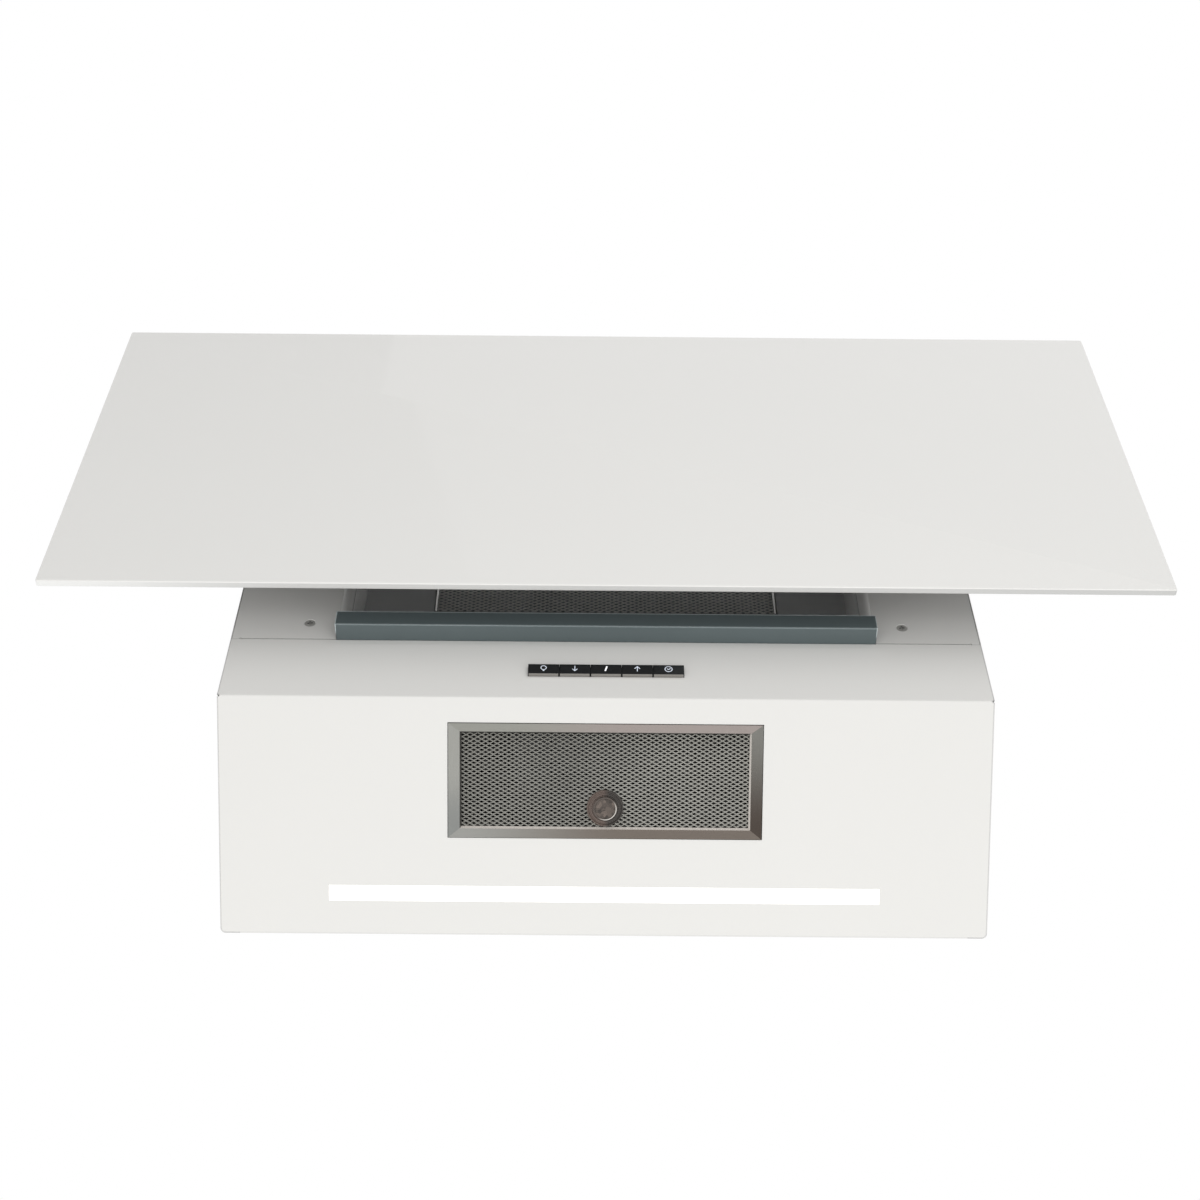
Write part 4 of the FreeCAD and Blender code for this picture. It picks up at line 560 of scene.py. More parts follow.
NODE_FINISHES = {
    SIDE_ENAMEL: ("left_side_panel", "right_side_panel"),
    WHITE_ENAMEL: ("lower_shell", "back_panel", "left_glass_arm", "right_glass_arm"),
    PANEL_ENAMEL: ("upper_front_panel",),
    SHADED_TRIM_ENAMEL: ("left_mouth_trim", "right_mouth_trim"),
    LIT_MOUTH_ENAMEL: ("intake_surround",),
    INNER_ENAMEL: ("filter_wall",),
    GUTTER_ENAMEL: ("drip_gutter",),
    WHITE_GLASS: ("glass_panel",),
    ZINC_STEEL: ("top_panel", "upper_wall_brackets", "lower_wall_brackets", "left_hinge_bracket",
                 "right_hinge_bracket", "motor_bracket", "front_filter_hangers", "bottom_filter_hangers"),
    BRIGHT_STEEL: ("hinge_pins", "glass_magnets", "motor_shaft", "collar_screws", "flap_pin"),
    SCREW_HEAD: ("front_screws",),
    BLACK_PLASTIC: ("key_bezel", "mains_gland", "impeller"),
    LAMINATE: ("control_board", "led_board"),
    OPAL: ("led_diffuser",),
    GREY_PLASTIC: ("led_housing", "right_blower_half", "left_blower_half", "outlet_adapter", "outlet_collar",
                   "room_side_flap", "wall_side_flap", "electronics_box", "electronics_lid", "capacitor"),
    MOTOR_METAL: ("motor",),
    RUBBER: ("blower_buffers",),
    FILTER_ALUMINIUM: ("front_filter_frame", "bottom_filter_frame"),
    MESH_ALUMINIUM: ("bottom_filter_mesh",),
    FRONT_MESH: ("front_filter_mesh",),
    CATCH_RING: ("front_filter_catch_plate", "bottom_filter_catch_plate"),
    CATCH_FACE: ("front_filter_catch", "bottom_filter_catch"),
    KEY_FACE: ("light_key", "slower_key", "level_key", "faster_key", "timer_key"),
}


class Finishes:
    """Builds each finish once and puts it on the carried-over nodes and the new pieces."""

    def __init__(self) -> None:
        """Starts with no materials."""
        self.made: dict[str, bpy.types.Material] = {}

    def of(self, finish: Finish) -> bpy.types.Material:
        """Gives the material of a finish and builds it on first use.

        Args:
            finish: The finish.

        Returns:
            The material.
        """
        if finish.name not in self.made:
            self.made[finish.name] = finish.build()
        return self.made[finish.name]

    def dress(self, piece: bpy.types.Object, *finishes: Finish) -> None:
        """Gives a piece one material slot for each finish.

        Args:
            piece: The object.
            finishes: Its finishes in slot order, as the faces' indices name them.
        """
        chosen = [face.material_index for face in piece.data.polygons]
        piece.data.materials.clear()
        for finish in finishes:
            piece.data.materials.append(self.of(finish))
        piece.data.polygons.foreach_set("material_index", chosen)

    def dress_nodes(self, nodes: dict[str, bpy.types.Object]) -> None:
        """Gives every carried-over node its finish.

        Args:
            nodes: The node objects by name.
        """
        for finish, names in NODE_FINISHES.items():
            for name in names:
                self.dress(nodes[name], finish)
        bare = set(nodes) - {name for names in NODE_FINISHES.values() for name in names}
        LOG.info("nodes without a finish: %s", sorted(bare))


FINISHES = Finishes()


class Bench:
    """Modelling steps that every new piece uses."""

    @staticmethod
    def clear() -> None:
        """Deselects everything and leaves edit mode."""
        if bpy.context.object and bpy.context.object.mode != "OBJECT":
            bpy.ops.object.mode_set(mode="OBJECT")
        bpy.ops.object.select_all(action="DESELECT")

    @classmethod
    def cube(cls, name: str, low: Point, high: Point) -> bpy.types.Object:
        """Adds a box between two corners, with its place in its mesh.

        Args:
            name: The piece's name.
            low: The lowest corner.
            high: The highest corner.

        Returns:
            The object.
        """
        cls.clear()
        low, high = Vector(low), Vector(high)
        bpy.ops.mesh.primitive_cube_add(size=1.0, location=(low + high) / 2, scale=high - low)
        return cls.named(name)

    @classmethod
    def plane(cls, name: str, low: Point, high: Point) -> bpy.types.Object:
        """Adds a flat rectangle between two corners at one height.

        Args:
            name: The piece's name.
            low: The lowest corner.
            high: The highest corner, at the same z.

        Returns:
            The object.
        """
        cls.clear()
        low, high = Vector(low), Vector(high)
        bpy.ops.mesh.primitive_plane_add(size=1.0, location=(low + high) / 2)
        bpy.context.object.scale = (high.x - low.x, high.y - low.y, 1.0)
        return cls.named(name)

    @classmethod
    def disc(cls, name: str, radius: float, depth: float, middle: Vector,
             sides: int = 48) -> bpy.types.Object:
        """Adds an upright cylinder.

        Args:
            name: The piece's name.
            radius: Its radius.
            depth: Its height.
            middle: Its middle.
            sides: The sides of its outline.

        Returns:
            The object.
        """
        cls.clear()
        bpy.ops.mesh.primitive_cylinder_add(vertices=sides, radius=radius, depth=depth, location=middle)
        return cls.named(name)

    @classmethod
    def rod_x(cls, name: str, radius: float, start: float, end: float, y: float,
              z: float) -> bpy.types.Object:
        """Adds a rod along x with a small bevel on its ends.

        Args:
            name: The piece's name.
            radius: Its radius.
            start: The x of one end.
            end: The x of the other end.
            y: The y of its axis.
            z: The z of its axis.

        Returns:
            The object.
        """
        cls.clear()
        bpy.ops.mesh.primitive_cylinder_add(vertices=24, radius=radius, depth=abs(end - start),
                                            location=((start + end) / 2, y, z), rotation=(0, math.pi / 2, 0))
        rod = cls.named(name)
        cls.bevel(rod, radius / 6, 2, lambda middle, along: abs(along.x) < 0.1)
        cls.smooth(rod)
        return rod

    @classmethod
    def named(cls, name: str) -> bpy.types.Object:
        """Names the new object and moves its place into its mesh.

        Args:
            name: The name.

        Returns:
            The object.
        """
        made = bpy.context.object
        made.name = name
        made.data.name = name
        bpy.ops.object.transform_apply(location=True, rotation=True, scale=True)
        return made

    @classmethod
    def focus(cls, piece: bpy.types.Object) -> None:
        """Makes one piece the only selected and the active one.

        Args:
            piece: The object.
        """
        cls.clear()
        piece.select_set(True)
        bpy.context.view_layer.objects.active = piece

    @classmethod
    def pick(cls, piece: bpy.types.Object, mode: str, test: Test) -> int:
        """Selects faces or edges by their middle and direction, and enters edit mode.

        Args:
            piece: The object.
            mode: FACE or EDGE.
            test: Takes the middle and the normal or direction, and says whether to select.

        Returns:
            How many were selected.
        """
        cls.focus(piece)
        mesh = piece.data
        bpy.ops.object.mode_set(mode="EDIT")
        bpy.ops.mesh.select_mode(type=mode)
        bpy.ops.mesh.select_all(action="DESELECT")
        bpy.ops.object.mode_set(mode="OBJECT")
        count = 0
        if mode == "FACE":
            for face in mesh.polygons:
                face.select = bool(test(face.center.copy(), face.normal.copy()))
                count += face.select
        else:
            for edge in mesh.edges:
                first, second = (mesh.vertices[i].co for i in edge.vertices)
                edge.select = bool(test((first + second) / 2, (second - first).normalized()))
                count += edge.select
        bpy.ops.object.mode_set(mode="EDIT")
        return count

    @classmethod
    def edit(cls, piece: bpy.types.Object, mode: str, test: Test, step: Callable, **settings: object) -> None:
        """Runs one editing step on the faces or edges that pass the test.

        Args:
            piece: The object.
            mode: FACE or EDGE.
            test: Says which faces or edges the step works on.
            step: The operator that makes the step.
            settings: The operator's settings.
        """
        if cls.pick(piece, mode, test):
            step(**settings)
        cls.clear()

    @classmethod
    def bevel(cls, piece: bpy.types.Object, width: float, steps: int, test: Test) -> None:
        """Rounds the edges that pass the test."""
        cls.edit(piece, "EDGE", test, bpy.ops.mesh.bevel, offset=width, offset_type="OFFSET", segments=steps,
                 profile=0.5)

    @classmethod
    def inset(cls, piece: bpy.types.Object, width: float, depth: float, test: Test,
              single: bool = False) -> None:
        """Insets the faces that pass the test, each by itself if single, and moves the inner part out."""
        cls.edit(piece, "FACE", test, bpy.ops.mesh.inset, thickness=width, depth=depth,
                 use_individual=single, use_even_offset=True)

    @classmethod
    def delete_faces(cls, piece: bpy.types.Object, test: Test) -> None:
        """Deletes the faces that pass the test."""
        cls.edit(piece, "FACE", test, bpy.ops.mesh.delete, type="FACE")

    @classmethod
    def pull(cls, piece: bpy.types.Object, move: Vector, test: Test) -> None:
        """Extrudes the edges that pass the test along a vector."""
        cls.edit(piece, "EDGE", test, bpy.ops.mesh.extrude_edges_move,
                 TRANSFORM_OT_translate={"value": tuple(move)})

    @classmethod
    def shift(cls, piece: bpy.types.Object, move: Vector, test: Test) -> None:
        """Moves the edges that pass the test along a vector."""
        cls.edit(piece, "EDGE", test, bpy.ops.transform.translate, value=tuple(move))

    @classmethod
    def terrace(cls, piece: bpy.types.Object, middle: Vector, steps: Iterable[tuple[float, float]]) -> None:
        """Insets a disc's top again and again, to turn its profile.

        Args:
            piece: The disc.
            middle: Any point on its axis.
            steps: How far in and how far up each step goes.
        """
        for width, rise in steps:
            cls.inset(piece, width, rise, lambda face, normal: normal.z > 0.9 and
                      math.hypot(face.x - middle.x, face.y - middle.y) < MM / 10)

    @classmethod
    def modify(cls, piece: bpy.types.Object, kind: str, **settings: object) -> None:
        """Changes a piece by one modifier.

        Args:
            piece: The object.
            kind: The modifier's type name.
            settings: The modifier's properties.
        """
        modifier = piece.modifiers.new(kind, kind)
        for name, value in settings.items():
            setattr(modifier, name, value)
        cls.focus(piece)
        bpy.ops.object.modifier_apply(modifier=modifier.name)

    @classmethod
    def subtract(cls, piece: bpy.types.Object, cutter: bpy.types.Object) -> None:
        """Cuts one piece out of another and removes it."""
        cls.modify(piece, "BOOLEAN", operation="DIFFERENCE", object=cutter)
        bpy.data.objects.remove(cutter, do_unlink=True)

    @classmethod
    def trim(cls, piece: bpy.types.Object, point: Vector, outward: Vector) -> None:
        """Cuts off what lies past a plane.

        Args:
            piece: The object.
            point: A point on the plane.
            outward: The side that goes.
        """
        cls.focus(piece)
        bpy.ops.object.mode_set(mode="EDIT")
        bpy.ops.mesh.select_all(action="SELECT")
        bpy.ops.mesh.bisect(plane_co=tuple(point), plane_no=tuple(outward), clear_outer=True)
        cls.clear()

    @classmethod
    def repeat(cls, piece: bpy.types.Object, count: int, step: Vector) -> None:
        """Turns a piece into a row of so many, each a step from the one before."""
        cls.modify(piece, "ARRAY", count=count, use_relative_offset=False, use_constant_offset=True,
                   constant_offset_displace=step)

    @classmethod
    def thicken(cls, piece: bpy.types.Object, wall: float, offset: float = -1.0) -> None:
        """Gives a sheet its wall, against its normals at an offset of -1 and along them at 1."""
        cls.modify(piece, "SOLIDIFY", thickness=wall, offset=offset)

    @classmethod
    def merge(cls, piece: bpy.types.Object) -> None:
        """Joins points that lie together and turns all faces outwards.

        Args:
            piece: The object.
        """
        cls.focus(piece)
        bpy.ops.object.mode_set(mode="EDIT")
        bpy.ops.mesh.select_all(action="SELECT")
        bpy.ops.mesh.remove_doubles(threshold=TINY)
        bpy.ops.mesh.normals_make_consistent(inside=False)
        cls.clear()

    @classmethod
    def join(cls, name: str, pieces: list[bpy.types.Object]) -> bpy.types.Object:
        """Joins several meshes into one piece.

        Args:
            name: The piece's name.
            pieces: The objects.

        Returns:
            The object.
        """
        cls.clear()
        for piece in pieces:
            piece.select_set(True)
        bpy.context.view_layer.objects.active = pieces[0]
        if len(pieces) > 1:
            bpy.ops.object.join()
        whole = bpy.context.object
        whole.name = name
        return whole

    @classmethod
    def copy(cls, piece: bpy.types.Object, name: str, move: Matrix) -> bpy.types.Object:
        """Copies a piece with its own mesh and moves the copy's points.

        Args:
            piece: The object.
            name: The copy's name.
            move: The move of its points.

        Returns:
            The copy.
        """
        made = piece.copy()
        made.data = piece.data.copy()
        made.name = name
        bpy.context.scene.collection.objects.link(made)
        made.data.transform(move)
        return made

    @classmethod
    def smooth(cls, piece: bpy.types.Object) -> None:
        """Shades a piece smooth except over sharp edges."""
        cls.focus(piece)
        bpy.ops.object.shade_smooth_by_angle(angle=SMOOTH_BELOW)


def always(middle: Vector, along: Vector) -> bool:
    """Passes everything."""
    return True


@dataclass
class GlassDoor:
    """The slanted glass plate with its rounded, ground edges."""

    half_width: float = 450.0 * MM
    low: float = 81.7 * MM
    length: float = 394.6 * MM
    standoff: float = 41.5 * MM
    thickness: float = 6.0 * MM
    corner: float = 2.0 * MM
    round: float = 0.9 * MM

    def build(self) -> None:
        """Models the plate and puts it in the place of the plain one."""
        inner, outer = self.standoff, self.standoff + self.thickness
        plate = Bench.cube("glass_plate", (-self.half_width, self.low, inner),
                           (self.half_width, self.low + self.length, outer))
        Bench.bevel(plate, self.corner, 4, lambda middle, along: abs(along.z) > 0.9)
        Bench.bevel(plate, self.round, 3, lambda middle, along: abs(along.z) < 0.1 and
                    min(abs(middle.z - inner), abs(middle.z - outer)) < self.round / 10)
        FINISHES.dress(plate, WHITE_GLASS, GLASS_EDGE, GLASS_BACK)
        for face in plate.data.polygons:
            rise = face.normal.z
            face.material_index = 0 if rise > 0.2 else 2 if rise < -0.99 else 1
        plate.data.transform(front_place())
        Bench.smooth(plate)
        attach(plate, "glass_door")
        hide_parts("glass_panel")


@dataclass
class Catch:
    """A filter's catch: a hollow button with a stem and a tongue, in a dished ring, seen in (x, t, d)."""

    name: str
    rim: float
    setback: float = 23.5 * MM
    ring_radius: float = 14.25 * MM
    ring_height: float = 1.7 * MM
    ring_level: float = -2.65 * MM
    button_radius: float = 9.3 * MM
    button_height: float = 2.0 * MM
    button_level: float = -0.4 * MM
    lip_inner: float = 8.2 * MM
    lip_outer: float = 8.9 * MM
    stem_radius: float = 3.0 * MM
    tongue_half: float = 6.0 * MM
    tongue_tail: float = 8.0 * MM
    tongue_reach: float = 0.2 * MM
    tongue_low: float = -5.9 * MM
    tongue_high: float = -4.9 * MM
    tongue_round: float = 2.5 * MM

    def ring(self) -> bpy.types.Object:
        """Models the dished ring round the button.

        Returns:
            The ring.
        """
        middle = Vector((0, self.rim - self.setback, self.ring_level))
        ring = Bench.disc(f"{self.name}_catch_ring", self.ring_radius, self.ring_height, middle, 72)
        Bench.terrace(ring, middle, ((0.35 * MM, 0.7 * MM), (0.65 * MM, 0.3 * MM), (0.4 * MM, -0.5 * MM),
                                     (0.5 * MM, -0.7 * MM), (0.6 * MM, 0.0), (0.4 * MM, 0.4 * MM),
                                     (0.9 * MM, 0.0), (0.3 * MM, -0.4 * MM)))
        Bench.smooth(ring)
        return ring

    def button(self) -> bpy.types.Object:
        """Models the button with its stem and tongue.

        Returns:
            The button.
        """
        middle = Vector((0, self.rim - self.setback, self.button_level))
        button = Bench.disc(f"{self.name}_catch_button", self.button_radius, self.button_height, middle, 64)
        Bench.terrace(button, middle, ((0.35 * MM, 0.4 * MM), (0.75 * MM, 0.0), (0.55 * MM, -0.7 * MM),
                                       (1.6 * MM, -0.25 * MM), (3.2 * MM, 0.12 * MM)))
        Bench.smooth(button)
        # A ring of faces on the button's lip gets the lip finish with its painted highlight
        for face in button.data.polygons:
            reach = math.hypot(face.center.x, face.center.y - middle.y)
            face.material_index = 1 if self.lip_inner < reach < self.lip_outer else 0
        FINISHES.dress(button, CATCH_FACE, CATCH_LIP_HIGHLIGHT)
        floor = self.button_level - self.button_height / 2
        stem = Bench.disc("stem", self.stem_radius, floor - self.tongue_low,
                          Vector((0, middle.y, (floor + self.tongue_low) / 2)), 32)
        tongue = Bench.cube("tongue", (-self.tongue_half, middle.y - self.tongue_tail, self.tongue_low),
                            (self.tongue_half, self.rim + self.tongue_reach, self.tongue_high))
        Bench.bevel(tongue, self.tongue_round, 4,
                    lambda place, along: abs(along.z) > 0.9 and place.y > self.rim)
        Bench.smooth(tongue)
        return Bench.join(button.name, [button, stem, tongue])


class Rail(Enum):
    """The strips of a filter's frame and their inner lips, as (x, t) sees them."""

    LOW_X = 0
    HIGH_X = 1
    PIVOT = 2
    CATCH = 3
    SHADED_LIP = 4
    LIT_LIP = 5


@dataclass
class GreaseFilter:
    """A grease filter: mitred rails round an expanded sheet, and its catch, seen in (x, t, d)."""

    name: str
    body: str
    place: Matrix
    width: float
    length: float
    side_rail: float
    pivot_rail: float
    catch_rail: float
    lip_width: float
    lip_depth: float
    cell_x: float
    cell_t: float
    rails: dict[Rail, Finish]
    mesh: Coat
    # under_mesh is the finish of the layer beneath; the bottom filter's is a darker copy, painted shade
    under_mesh: Coat
    layers: int = 1
    pivot_round: float = 0.0
    depth: float = 9.5 * MM
    wall: float = 0.8 * MM
    roll: float = 4.0 * MM
    mitre: float = 0.25 * MM
    strand: float = 0.92 * MM
    sheet_depth: float = 3.5 * MM
    sheet: float = 0.8 * MM
    layer_gap: float = 1.5 * MM
    slip_x: float = 1.6 * MM
    slip_t: float = 0.9 * MM
    gap: float = 1.1 * MM
    pin_radius: float = 1.5 * MM
    pin_length: float = 4.4 * MM

    def build(self) -> None:
        """Models the frame, the sheet and the catch and puts them in the place of the plain ones."""
        frame = self.frame()
        self.finish(frame, "frame", "filter_aluminium", *self.rails.values())
        self.finish(self.expanded_sheet(), "mesh", "mesh_aluminium", self.mesh, self.under_mesh)
        catch = Catch(self.name, self.length)
        self.finish(catch.ring(), "catch_plate", "catch_plastic", CATCH_RING)
        button = catch.button()
        self.finish(button, "catch", "catch_plastic", CATCH_FACE, CATCH_LIP_HIGHLIGHT)
        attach(button, self.body.replace("filter", "catch"))

    def finish(self, piece: bpy.types.Object, part: str, slot: str, *finishes: Finish) -> None:
        """Places a piece on the hood and dresses it.

        Args:
            piece: The object, modelled in (x, t, d).
            part: The part of the filter that it replaces.
            slot: Its material slot in the record; not used.
            finishes: Its finishes in slot order.
        """
        piece.data.transform(self.place)
        FINISHES.dress(piece, *finishes)
        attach(piece, self.body)
        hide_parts(f"{self.name}_filter_{part}")

    def frame(self) -> bpy.types.Object:
        """Models the four rails with their mitred corners and pivot pins.

        Returns:
            The frame in (x, t, d).
        """
        half = self.width / 2
        frame = Bench.plane(f"{self.name}_filter_rails", (-half, 0, 0), (half, self.length, 0))
        Bench.inset(frame, self.side_rail, 0.0, always)
        for edge, move in ((self.side_rail, self.pivot_rail - self.side_rail),
                           (self.length - self.side_rail, self.side_rail - self.catch_rail)):
            Bench.shift(frame, Vector((0, move, 0)), lambda middle, along: abs(middle.y - edge) < TINY)
        Bench.inset(frame, self.lip_width, -self.lip_depth, self.central)
        Bench.delete_faces(frame, self.central)
        Bench.pull(frame, Vector((0, 0, -self.depth)),
                   lambda middle, along: abs(abs(middle.x) - half) < TINY or abs(middle.y) < TINY
                   or abs(middle.y - self.length) < TINY)
        if self.pivot_round:
            Bench.bevel(frame, self.pivot_round, 3,
                        lambda middle, along: abs(middle.y) < TINY and abs(middle.z) < TINY)
        Bench.inset(frame, self.mitre, self.mitre / 2, lambda middle, normal: normal.z > 0.99, single=True)
        Bench.merge(frame)
        Bench.thicken(frame, self.wall / 2)
        pins = [Bench.rod_x(f"{self.name}_pin", self.pin_radius, side * half,
                            side * (half + self.pin_length), self.roll, -self.roll) for side in (-1, 1)]
        frame = Bench.join(frame.name, [frame] + pins)
        frame.data.polygons.foreach_set("material_index", [
            self.rail_at(face.center).value for face in frame.data.polygons])
        return frame

    def central(self, middle: Vector, normal: Vector) -> bool:
        """Passes the face in the middle of the frame."""
        return abs(middle.x) < self.width / 20 and abs(middle.y - self.length / 2) < self.length / 10

    def rail_at(self, middle: Vector) -> Rail:
        """Tells which strip of the frame a face belongs to.

        Args:
            middle: The face's middle.

        Returns:
            The rail, or the kind of lip.
        """
        near_pivot = middle.y < self.length / 2
        end_rail = self.pivot_rail if near_pivot else self.catch_rail
        side_share = (self.width / 2 - abs(middle.x)) / self.side_rail
        end_share = min(middle.y, self.length - middle.y) / end_rail
        if side_share < end_share:
            rail = Rail.LOW_X if middle.x < 0 else Rail.HIGH_X
        else:
            rail = Rail.PIVOT if near_pivot else Rail.CATCH
        if min(side_share, end_share) > 1:
            return Rail.LIT_LIP if rail in (Rail.LOW_X, Rail.CATCH) else Rail.SHADED_LIP
        return rail

    def expanded_sheet(self) -> bpy.types.Object:
        """Models the expanded sheets from one diamond of strands.

        Returns:
            The sheets in (x, t, d).
        """
        half = self.width / 2 - self.gap
        low, high = self.gap, self.length - self.gap
        name = f"{self.name}_filter_strands"
        Bench.clear()
        bpy.ops.mesh.primitive_circle_add(vertices=4, radius=1.0, fill_type="NGON")
        bpy.context.object.scale = (self.cell_x / 2, self.cell_t / 2, 1.0)
        sheet = Bench.named(name)
        Bench.inset(sheet, self.strand / 2, self.sheet / 2, always)
        Bench.delete_faces(sheet, lambda middle, normal: middle.length < self.strand / 4 + self.sheet)
        sheet.data.transform(Matrix.Translation((-half, low, -self.sheet_depth)))
        twin = Bench.copy(sheet, "twin", Matrix.Translation((self.cell_x / 2, self.cell_t / 2, 0)))
        sheet = Bench.join(name, [sheet, twin])
        Bench.repeat(sheet, int(2 * half / self.cell_x) + 2, Vector((self.cell_x, 0, 0)))
        Bench.repeat(sheet, int((high - low) / self.cell_t) + 1, Vector((0, self.cell_t, 0)))
        FINISHES.dress(sheet, self.mesh, self.under_mesh)
        if self.layers > 1:
            under = Bench.copy(sheet, "under", self.slip(half))
            # The layer beneath gets the second finish, on the bottom filter a darker copy painted as shade
            under.data.polygons.foreach_set("material_index", [1] * len(under.data.polygons))
            sheet = Bench.join(name, [sheet, under])
        for point, outward in (((half, 0, 0), (1, 0, 0)), ((-half, 0, 0), (-1, 0, 0)),
                               ((0, low, 0), (0, -1, 0)), ((0, high, 0), (0, 1, 0))):
            Bench.trim(sheet, Vector(point), Vector(outward))
        Bench.merge(sheet)
        Bench.thicken(sheet, self.sheet * 0.6)
        return sheet

    def slip(self, half: float) -> Matrix:
        """Gives the move of the layer beneath, which drifts against the upper one across the sheet.

        Args:
            half: Half the sheet's width.

        Returns:
            The matrix.
        """
        move = Matrix.Identity(4)
        move[0][0] += self.slip_x / (2 * half)
        move[0][3] = -self.slip_x / 2
        move[1][0] = self.slip_t / (2 * half)
        move[1][3] = -self.slip_t / 2
        move[2][3] = -self.layer_gap
        return move


class Mark(Enum):
    """What a key's mark shows."""

    LAMP = "light"
    DOWN = "slower"
    LEVEL = "level"
    UP = "faster"
    CLOCK = "timer"


@dataclass
class KeyRow:
    """Five keys side by side, black in front with undersides painted light grey as lit, each with a simple
    mark.
    """

    pitch: float = 24.4 * MM
    gap: float = 0.2 * MM
    notch: float = 0.55 * MM
    low: float = 26.0 * MM
    height: float = 11.5 * MM
    proud: float = 2.8 * MM
    head_depth: float = 0.4 * MM
    round: float = 0.12 * MM
    dish: float = 0.15 * MM
    dish_margin: float = 1.5 * MM
    stem_half: float = 8.5 * MM
    stem_height: float = 7.0 * MM
    stem_end: float = 4.2 * MM
    mark_rise: float = 0.9 * MM
    mark_wall: float = 0.06 * MM

    def build(self) -> None:
        """Models the keys from left to right."""
        for place, mark in enumerate(Mark):
            middle = (place - (len(Mark) - 1) / 2) * self.pitch
            self.key(mark, middle)

    def key(self, mark: Mark, middle: float) -> None:
        """Models one key with its mark and puts it in the place of the plain one.

        Args:
            mark: Which key.
            middle: Its middle along x.
        """
        half = (self.pitch - self.gap) / 2
        high = self.low + self.height
        key = Bench.cube(f"{mark.value}_key_cap", (middle - half, self.low, -self.head_depth),
                         (middle + half, high, self.proud))
        Bench.bevel(key, self.notch, 1,
                    lambda place, along: abs(along.z) > 0.9 and place.y < self.low + self.notch)
        Bench.bevel(key, self.round, 3, lambda place, along: place.z > self.proud - self.round / 2)
        Bench.inset(key, self.dish_margin, -self.dish, lambda place, normal: normal.z > 0.99)
        stem_low = self.low + (self.height - self.stem_height) / 2
        stem = Bench.cube("stem", (middle - self.stem_half, stem_low, -self.stem_end),
                          (middle + self.stem_half, stem_low + self.stem_height, 0))
        for face in key.data.polygons:
            # Faces that look down get the light grey: painted light on the same black plastic
            face.material_index = 1 if face.normal.y < -0.9 else 0
        centre = Vector((middle, self.low + self.height / 2 + self.mark_rise, self.proud - self.dish))
        sign = self.mark(mark, centre)
        for face in sign.data.polygons:
            face.material_index = 2
        finishes = (KEY_FACE, LIT_KEY_UNDERSIDE, LEVEL_MARK if mark is Mark.LEVEL else KEY_MARK)
        FINISHES.dress(key, *finishes)
        FINISHES.dress(sign, *finishes)
        Bench.smooth(key)
        key = Bench.join(key.name, [key, stem, sign])
        key.data.transform(front_place())
        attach(key, f"{mark.value}_button")
        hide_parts(f"{mark.value}_key")

    def mark(self, mark: Mark, centre: Vector) -> bpy.types.Object:
        """Models the raised lines of a mark.

        Args:
            mark: Which mark.
            centre: Its middle on the key's face.

        Returns:
            The lines as one object.
        """
        if mark is Mark.LAMP:
            lines = [self.ring(0.6, 2.4, 2.7), self.bar((-0.7, -2.8), (0.7, -2.8), 0.9)]
        elif mark is Mark.DOWN:
            lines = [self.bar((0, 3.1), (0, -2.6))] + self.head(-3.0, 1.9, 2.4)
        elif mark is Mark.LEVEL:
            lines = [self.bar((-0.7, -2.8), (0.7, 2.8), 1.2)]
        elif mark is Mark.UP:
            lines = [self.bar((0, -3.0), (0, 2.6))] + self.head(3.0, 2.1, -2.8)
        else:
            lines = [self.ring(0.0, 3.1, 3.4), self.bar((-1.3, 0.6), (0, -0.7)),
                     self.bar((0, -0.7), (1.5, 1.0))]
        sign = Bench.join("mark", lines)
        Bench.thicken(sign, self.mark_wall, 1.0)
        sign.data.transform(Matrix.Translation(centre))
        return sign

    def head(self, tip: float, half: float, back: float) -> list[bpy.types.Object]:
        """Models an arrow's two strokes from its tip's height, half width and length in millimetres."""
        return [self.bar((0, tip), (side * half, tip + back)) for side in (-1, 1)]

    @staticmethod
    def bar(start: tuple[float, float], end: tuple[float, float], width: float = 0.6) -> bpy.types.Object:
        """Models a straight stroke.

        Args:
            start: Where it starts, in millimetres.
            end: Where it ends.
            width: Its width in millimetres.

        Returns:
            The stroke.
        """
        first, last = Vector((*start, 0)) * MM, Vector((*end, 0)) * MM
        along = last - first
        stroke = Bench.plane("stroke", (-width * MM / 2, 0, 0), (width * MM / 2, along.length, 0))
        turn = Matrix.Rotation(math.atan2(-along.x, along.y), 4, "Z")
        stroke.data.transform(Matrix.Translation(first) @ turn)
        return stroke

    @staticmethod
    def ring(rise: float, half_x: float, half_s: float, width: float = 0.6) -> bpy.types.Object:
        """Models a round or oval stroke.

        Args:
            rise: The height of its middle in millimetres.
            half_x: Half its outer width in millimetres.
            half_s: Half its outer height in millimetres.
            width: The stroke's width in millimetres.

        Returns:
            The stroke.
        """
        centre = Vector((0, rise, 0)) * MM
        Bench.clear()
        bpy.ops.mesh.primitive_circle_add(vertices=28, radius=1.0, fill_type="NGON")
        bpy.context.object.scale = (half_x * MM, half_s * MM, 1.0)
        bpy.context.object.location = centre
        stroke = Bench.named("stroke")
        Bench.inset(stroke, width * MM, 0.0, always)
        Bench.delete_faces(stroke, lambda middle, normal: (middle - centre).length < MM / 10)
        return stroke


